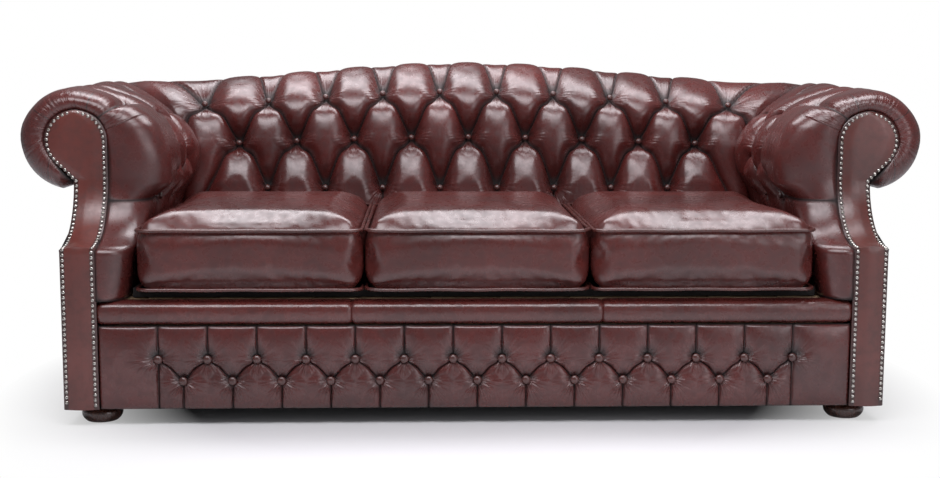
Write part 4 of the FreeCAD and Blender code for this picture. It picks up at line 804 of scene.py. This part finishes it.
def facing_edges(z):
    """The facing's inner and outer edge at a height."""
    reach = np.sqrt(np.maximum(SCROLL**2 - (z - ARM_ROLL_Z) ** 2, 0))
    inside = np.where(z < ARM_ROLL_Z, FACING_IN, SCROLL_MID - reach)
    slope = SIDE_OF_ARM + (z - NECK_FOOT) * math.tan(-TUCK)
    outside = np.where(z > NECK, SCROLL_MID + reach, np.where(z > NECK_FOOT, slope, SIDE_OF_ARM))
    return inside, outside


turns = np.radians(np.linspace(-90, 90, 65))
heights = np.concatenate([np.linspace(FACING_LOW, KNEE - 0.004, 40), np.linspace(KNEE, 0.545, 48)[:-1],
                          ARM_ROLL_Z + SCROLL * np.sin(turns[turns > -0.9])])
heights = heights[:((len(heights) - 1) // COARSE) * COARSE + 1]
heights = np.append(heights[:-1], ARM_ROLL_Z + SCROLL * 0.9995)[None, :]
share = np.linspace(0, 1, 25)[:, None]
inside, outside = facing_edges(heights)
x = inside + (outside - inside) * (1 - np.cos(share * np.pi)) / 2
from_edge = np.minimum(x - inside, outside - x)
puff = np.interp(from_edge, [0, 0.004, 0.009, 0.030], [-0.0028, -0.0004, 0.0006, 0.0046])
flat = stacked(x, facing_y(heights), heights + 0 * x)
_, _, square = directions(flat)
outer = flat + square * puff[..., None]
outer[..., 1] = np.where(heights > 0.686, flat[..., 1], outer[..., 1])
outer[..., 2] = np.maximum(outer[..., 2], 0.0365)
inner = flat + np.array([0, 0.0215, 0])
# Darker within about 10 mm of the facing's edges, fading out by 16 mm.
edge_darkening = np.interp(from_edge, [0, 0.0105, 0.016], [0.15, 0.15, 1])
for side, name in ((1, "right"), (-1, "left")):
    flip = np.array([side, 1, 1])
    facing = upholstered(f"{name}_leather_facing", outer * flip, inner * flip, edge_darkening, {}, side == -1)
    facing.data.materials.append(facing_leather)
    pick_up(facing)
    bpy.ops.object.mode_set(mode="EDIT")
    bpy.ops.mesh.select_all(action="SELECT")
    bpy.ops.mesh.remove_doubles(threshold=0.00005)
    bpy.ops.object.mode_set(mode="OBJECT")
    bpy.ops.object.shade_smooth_by_angle(angle=math.radians(55))
    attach(facing, "sofa")
    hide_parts(f"{name}_facing")


# Decorative nails with domed heads of antiqued nickel. They are driven head to head along both edges of each
# facing, through its leather into the board.

pewter, tree, shader = new_material("antique_nickel", (0.50, 0.47, 0.43), 0.28)
shader.inputs["Metallic"].default_value = 1.0
tarnish = patches(tree, on_piece(tree), 240, 3)
aged = blend_colours(tree, scaled(tree, tarnish, 0.45, 0.65), (0.52, 0.50, 0.47), (0.16, 0.14, 0.12))
finish_with(tree, shader, Base_Color=aged, Roughness=scaled(tree, tarnish, 0.4, 0.7, 0.2, 0.45))

NAIL_INSET = 0.007
NAIL_PITCH = 0.0116
NAIL_SEAT = 0.0004
NAIL_LOW = 0.048
line = [(FACING_IN + NAIL_INSET, NAIL_LOW)]
for degrees in range(180, -51, -2):
    line.append((SCROLL_MID + (SCROLL - NAIL_INSET) * math.cos(math.radians(degrees)),
                 ARM_ROLL_Z + (SCROLL - NAIL_INSET) * math.sin(math.radians(degrees))))
line += [(SIDE_OF_ARM - NAIL_INSET, NECK_FOOT - 0.004), (SIDE_OF_ARM - NAIL_INSET, NAIL_LOW)]
places, wanted, travelled_now = [], 0.0, 0.0
for (x1, z1), (x2, z2) in zip(line, line[1:]):
    steps = max(int(math.hypot(x2 - x1, z2 - z1) / 0.0004), 1)
    for step in range(steps):
        x, z = x1 + (x2 - x1) * step / steps, z1 + (z2 - z1) * step / steps
        spot = Vector((x, float(facing_y(np.array(z))), z))
        if places:
            travelled_now += (spot - last).length
        last = spot
        if travelled_now >= wanted:
            places.append(spot)
            wanted += NAIL_PITCH
ways = []
for spot in places:
    slope = float(facing_y(np.array(spot.z + 0.001)) - facing_y(np.array(spot.z - 0.001))) / 0.002
    ways.append(Vector((0, -1, min(slope, 12))).normalized())
for side, name in ((1, "right"), (-1, "left")):
    on_side = [Vector((spot.x * side, spot.y, spot.z)) + way * NAIL_SEAT for spot, way in zip(places, ways)]
    nails = set_out(low_dome(0.0041, 0.62, 0, 10, 8, 50), f"{name}_nails", on_side, ways, pewter)
    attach(nails, "sofa")
    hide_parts(f"{name}_facing_nails")


# The outsides of the arms and back: flat panels covered with plain leather, tucked up under the rolls and
# tacked down to the rails.

outside_leather = oxblood("outside_leather", OXBLOOD, DARK_FINISH_AND_SHADE, 0.34, creased=0.15)
dress(outside_leather, "left_outside_arm_panel", "right_outside_arm_panel", "outside_back_panel")


# The buttoned front panel: thin padding under the same leather on the front rail, with two rows of larger
# buttons set in turn, slanting pleats between the rows and upright ones to both edges.

BASE_END = 15
BASE_LEVELS = [0.036, 0.099, 0.147, 0.2216]
PLAIN_END = 0.12925
BASE_HALF_PITCH = (FACING_IN - PLAIN_END) / (BASE_END - 2)
BASE_SPACING = (BASE_HALF_PITCH, 0.055)
base_buttons = [(c, r) for r in (1, 2) for c in range(-13, 14) if (abs(c) + r) % 2 == 1]
base_folds = pleats_between(base_buttons, 2, [((c, 2), (c, 3)) for c in range(-13, 14, 2)]
                            + [((c, 0), (c, 1)) for c in range(-12, 13, 2)]
                            + [((13 * side, 0), (13 * side, 2)) for side in (-1, 1)])
c, r, skin = stuffed((-BASE_END, BASE_END), (0, 3), base_folds,
                     lambda c, r: (np.abs(c) >= BASE_END) | (r <= 0) | (r >= 3), BASE_SPACING)
skin = np.minimum(skin / skin[(BASE_END + 1) * FINE, int(0.75 * FINE)], 1.4)
full = skin ** 0.45
away, which = near_buttons(c, r, base_buttons, BASE_SPACING)
bowed = r + fold_arch(c, r, 1, 2, bow=0.10)
x = np.where(np.abs(c) < BASE_END - 2, c * BASE_HALF_PITCH,
             np.sign(c) * ((BASE_END - 2) * BASE_HALF_PITCH + (np.abs(c) - BASE_END + 2) / 2 * 0.1288))
surface = stacked(x, FRONT + 0.0124, np.interp(bowed, [0, 1, 2, 3], BASE_LEVELS))
loft = 0.0120 * full + 0.003 * (1 - np.exp(-(away / 0.02) ** 2)) * np.clip(full * 4, 0, 1)
loft = loft * (1 - 0.5 * pinched(c, r, base_buttons, BASE_SPACING, 0.012))
loft = loft - 0.004 * slit(skin, c, r, (BASE_END, 3))
outer = surface - np.array([0, 1, 0]) * loft[..., None]
inner = surface + np.array([0, 0.0085, 0])
panel = upholstered("buttoned_front_panel", outer, inner, np.minimum(full, 1),
                    {"gathers": gather_map(c, r, base_buttons, which, BASE_SPACING)}, False)
base_leather = oxblood("front_panel_leather", OXBLOOD, DARK_FINISH_AND_SHADE, 0.27, tufted=True, creased=0.2)
panel.data.materials.append(base_leather)
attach(panel, "sofa")
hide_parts("front_base_panel")
seats = [(float(x[int(round((column + BASE_END) * FINE)), 0]), FRONT + 0.0065, BASE_LEVELS[row])
         for column, row in base_buttons]
buttons = set_out(covered_button(0.010, 0.0060), "front_panel_buttons", seats, [(0, -1, 0)] * len(seats),
                  button_leather)
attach(buttons, "sofa")
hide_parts("base_buttons")


# The padded lip on the seat's front edge: a roll of wadding in leather, sewn from three lengths and nailed
# along the top of the front rail.

def swept(name, rings, closed_ends=True):
    """A skin over closed rings of points: its two ends are filled, or else joined to each other."""
    count, sides = rings.shape[:2]
    number = np.arange(count * sides).reshape(count, sides)
    faces = []
    for i in range(count - 1 if closed_ends else count):
        j = (i + 1) % count
        for k in range(sides):
            m = (k + 1) % sides
            faces.append((int(number[i, k]), int(number[j, k]), int(number[j, m]), int(number[i, m])))
    if closed_ends:
        faces.append(tuple(int(n) for n in number[0]))
        faces.append(tuple(int(n) for n in number[-1][::-1]))
    return sewn(name, rings.reshape(-1, 3), faces)


LIP_LOW, LIP_HIGH, LIP_DEPTH = 0.2222, 0.2752, 0.068
lip_leather = oxblood("lip_leather", (0.052, 0.0098, 0.0082), DARK_FINISH_AND_SHADE, 0.27, creased=0.4)
seam = FACING_IN / 3
lengths = []
for begin, end in ((-FACING_IN + 0.0005, -seam), (-seam, seam), (seam, FACING_IN - 0.0005)):
    x = np.linspace(begin, end, int((end - begin) / 0.004))[:, None]
    round_it = np.radians(np.linspace(0, 360, 33)[:-1])[None, :]
    half_high, half_deep = (LIP_HIGH - LIP_LOW) / 2, LIP_DEPTH / 2
    near_seam = np.exp(-(np.minimum(x - begin, end - x) / 0.005) ** 2)
    size_here = 1 - 0.10 * near_seam + 0.012 * np.sin(x * 61) * np.sin(x * 23 + 1)
    forward, upward = np.cos(round_it), np.sin(round_it)
    y = FRONT + 0.0008 + half_deep - half_deep * np.sign(forward) * np.abs(forward) ** 0.8 * size_here
    z = LIP_LOW + half_high + half_high * np.sign(upward) * np.abs(upward) ** 0.55 * size_here
    lengths.append(swept("lip_length", stacked(x, y, z)))
lip = finished(joined(lengths), "padded_lip", lip_leather)
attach(lip, "sofa")
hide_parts("front_lip")


# The three loose seat cushions: a boxed leather cover on a foam core, crowned on top and corded round both
# seams. One is swelled by simulation. The left one is its mirror image, the right one is turned half round.

CUSHION_WIDE, CUSHION_DEEP, CUSHION_LOW = 0.498, 0.598, 0.2964
LOWER_SEAM, UPPER_SEAM = CUSHION_LOW + 0.0046, CUSHION_LOW + 0.134
CUSHION_ROUND = 0.034
CORD = 0.0040
CUSHION_TOP = 0.4775
SKIN = 0.003
mid_y = FRONT + CUSHION_DEEP / 2
put_away()
bpy.ops.mesh.primitive_cube_add(size=1, location=(0, mid_y, (LOWER_SEAM + UPPER_SEAM) / 2))
cushion = bpy.context.active_object
bpy.ops.object.mode_set(mode="EDIT")
bpy.ops.mesh.select_all(action="SELECT")
box = (CUSHION_WIDE - 2 * SKIN, CUSHION_DEEP - 2 * SKIN, UPPER_SEAM - LOWER_SEAM + 0.008)
bpy.ops.transform.resize(value=box)
bpy.ops.mesh.select_all(action="DESELECT")
bpy.ops.object.mode_set(mode="OBJECT")
for bar in cushion.data.edges:
    ends = [cushion.data.vertices[n].co for n in bar.vertices]
    bar.select = abs(ends[0].z - ends[1].z) > 0.05
bpy.ops.object.mode_set(mode="EDIT")
bpy.ops.mesh.select_mode(type="EDGE")
bpy.ops.mesh.bevel(offset=CUSHION_ROUND, segments=6)
bpy.ops.object.mode_set(mode="OBJECT")
finished(cushion, "middle_cushion")
cushion.data.remesh_voxel_size = 0.006
bpy.ops.object.voxel_remesh()


def inset_from_side(x, y):
    """How far a place lies inside the cushion's rounded outline."""
    right = np.abs(x) - (CUSHION_WIDE / 2 - SKIN - CUSHION_ROUND)
    back = np.abs(y - mid_y) - (CUSHION_DEEP / 2 - SKIN - CUSHION_ROUND)
    outside = np.hypot(np.maximum(right, 0), np.maximum(back, 0))
    return CUSHION_ROUND - outside - np.minimum(np.maximum(right, back), 0)


spot = np.zeros(len(cushion.data.vertices) * 3)
cushion.data.vertices.foreach_get("co", spot)
spot = spot.reshape(-1, 3)
inset = np.maximum(inset_from_side(spot[:, 0], spot[:, 1]), 0)
middle = (LOWER_SEAM + UPPER_SEAM) / 2
rise = np.clip((spot[:, 2] - middle) / (UPPER_SEAM - middle), 0, 1)
crown = 0.034 * (0.55 * (1 - np.exp(-inset / 0.018)) + 0.45 * (1 - np.exp(-inset / 0.075)))
bulge = 1 - ((spot[:, 2] - middle) / (UPPER_SEAM - LOWER_SEAM) * 2) ** 2
draw_in = np.clip(bulge, 0, 1) * 0.004 * np.exp(-inset / 0.02)
out = np.stack([spot[:, 0] / CUSHION_WIDE, (spot[:, 1] - mid_y) / CUSHION_DEEP], -1)
out /= np.maximum(np.linalg.norm(out, axis=1, keepdims=True), 1e-9)
spot[:, :2] -= out * draw_in[:, None]
spot[:, 2] += crown * rise**3
cushion.data.vertices.foreach_set("co", spot.reshape(-1))
at_seam = np.minimum(np.abs(spot[:, 2] - LOWER_SEAM), np.abs(spot[:, 2] - UPPER_SEAM)) < 0.0045
held = (at_seam & (inset < 0.012)) | (spot[:, 2] < CUSHION_LOW + 0.004)
group = cushion.vertex_groups.new(name="held")
group.add([int(n) for n in np.nonzero(held)[0]], 1.0, "REPLACE")
cloth = cushion.modifiers.new("stuffing", "CLOTH")
cloth.settings.quality = 4
cloth.settings.mass = 0.5
cloth.settings.tension_stiffness = cloth.settings.compression_stiffness = 12
cloth.settings.bending_stiffness = 0.4
cloth.settings.shrink_min = -0.008
cloth.settings.use_pressure = True
cloth.settings.uniform_pressure_force = 2.5
cloth.settings.effector_weights.gravity = 0
cloth.settings.vertex_group_mass = "held"
for moment in range(1, 21):
    bpy.context.scene.frame_set(moment)
settled = cushion.evaluated_get(bpy.context.evaluated_depsgraph_get()).data
moved = np.zeros(len(settled.vertices) * 3)
settled.vertices.foreach_get("co", moved)
step = moved.reshape(-1, 3) - spot
length = np.linalg.norm(step, axis=1, keepdims=True)
spot = spot + step * np.minimum(1, 0.008 / np.maximum(length, 1e-9))
cushion.modifiers.clear()
bpy.context.scene.frame_set(1)
spot[:, 0] = np.clip(spot[:, 0], -CUSHION_WIDE / 2 + 0.0005, CUSHION_WIDE / 2 - 0.0005)
spot[:, 1] = np.clip(spot[:, 1], FRONT + 0.0012, FRONT + CUSHION_DEEP - 0.0012)
spot[:, 2] = np.clip(spot[:, 2], CUSHION_LOW, CUSHION_TOP)
cushion.data.vertices.foreach_set("co", spot.reshape(-1))
cushion.data.polygons.foreach_set("use_smooth", [True] * len(cushion.data.polygons))
pick_up(cushion)
smoothing = cushion.modifiers.new("soft_skin", "SMOOTH")
smoothing.iterations = 5
bpy.ops.object.modifier_apply(modifier=smoothing.name)
finer = cushion.modifiers.new("fine_skin", "SUBSURF")
finer.levels = finer.render_levels = 1
bpy.ops.object.modifier_apply(modifier=finer.name)

cushion_leather = oxblood("cushion_leather", (0.050, 0.0092, 0.0078), DARK_FINISH_AND_SHADE, 0.28, creased=0.15)
cord_leather = oxblood("cord_leather", (0.048, 0.012, 0.010), DARK_FINISH_AND_SHADE, 0.26, creased=0.1)


def corded_seam(x, level):
    """A cord in a strip of leather, sewn all round the cushion in its seam."""
    radius = CUSHION_ROUND - CORD
    centre_x, centre_y = CUSHION_WIDE / 2 - CUSHION_ROUND, CUSHION_DEEP / 2 - CUSHION_ROUND
    path = []
    for side_x, side_y, start in ((1, -1, -90), (1, 1, 0), (-1, 1, 90), (-1, -1, 180)):
        for degrees in range(start, start + 91, 10):
            path.append((side_x * centre_x + radius * math.cos(math.radians(degrees)),
                         side_y * centre_y + radius * math.sin(math.radians(degrees))))
    close = []
    for (x1, y1), (x2, y2) in zip(path, path[1:] + path[:1]):
        pieces = max(int(math.hypot(x2 - x1, y2 - y1) / 0.008), 1)
        close += [(x1 + (x2 - x1) * n / pieces, y1 + (y2 - y1) * n / pieces) for n in range(pieces)]
    close = np.array(close)
    forward = np.roll(close, -1, axis=0) - np.roll(close, 1, axis=0)
    forward /= np.linalg.norm(forward, axis=1, keepdims=True)
    aside = np.stack([forward[:, 1], -forward[:, 0]], -1)
    turns = np.radians(np.arange(0, 360, 36))
    ease = 0.0007 * np.sin(close[:, 0] * 37 + level * 90) * np.sin(close[:, 1] * 29 + x * 7)
    out = CORD * np.cos(turns)[None, :]
    rings = np.stack([x + close[:, :1] + aside[:, :1] * out, mid_y + close[:, 1:] + aside[:, 1:] * out,
                      level + ease[:, None] + CORD * np.sin(turns)[None, :] + 0 * out], -1)
    return swept("cord", rings, closed_ends=False)


for step, name in ((-1, "left"), (0, "middle"), (1, "right")):
    x = step * (CUSHION_WIDE + 0.001)
    if name == "middle":
        cover = cushion
    else:
        cover = cushion.copy()
        cover.data = cushion.data.copy()
        bpy.context.scene.collection.objects.link(cover)
        if name == "left":
            cover.data.transform(Matrix.Diagonal((-1, 1, 1, 1)))
            cover.data.flip_normals()
        else:
            about = Matrix.Translation((0, mid_y, 0)) @ Matrix.Rotation(math.pi, 4, "Z")
            cover.data.transform(about @ Matrix.Translation((0, -mid_y, 0)))
        cover.data.transform(Matrix.Translation((x, 0, 0)))
    finished(cover, f"{name}_seat_cushion", cushion_leather)
    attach(cover, f"{name}_cushion")
    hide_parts(f"{name}_cushion_cover", f"{name}_cushion_foam")
    cords = joined([corded_seam(x, level) for level in (LOWER_SEAM, UPPER_SEAM)])
    finished(cords, f"{name}_seat_piping", cord_leather)
    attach(cords, f"{name}_cushion")
    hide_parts(f"{name}_cushion_piping")


# Colours are shown with the Standard view transform.

bpy.context.scene.view_settings.view_transform = "Standard"
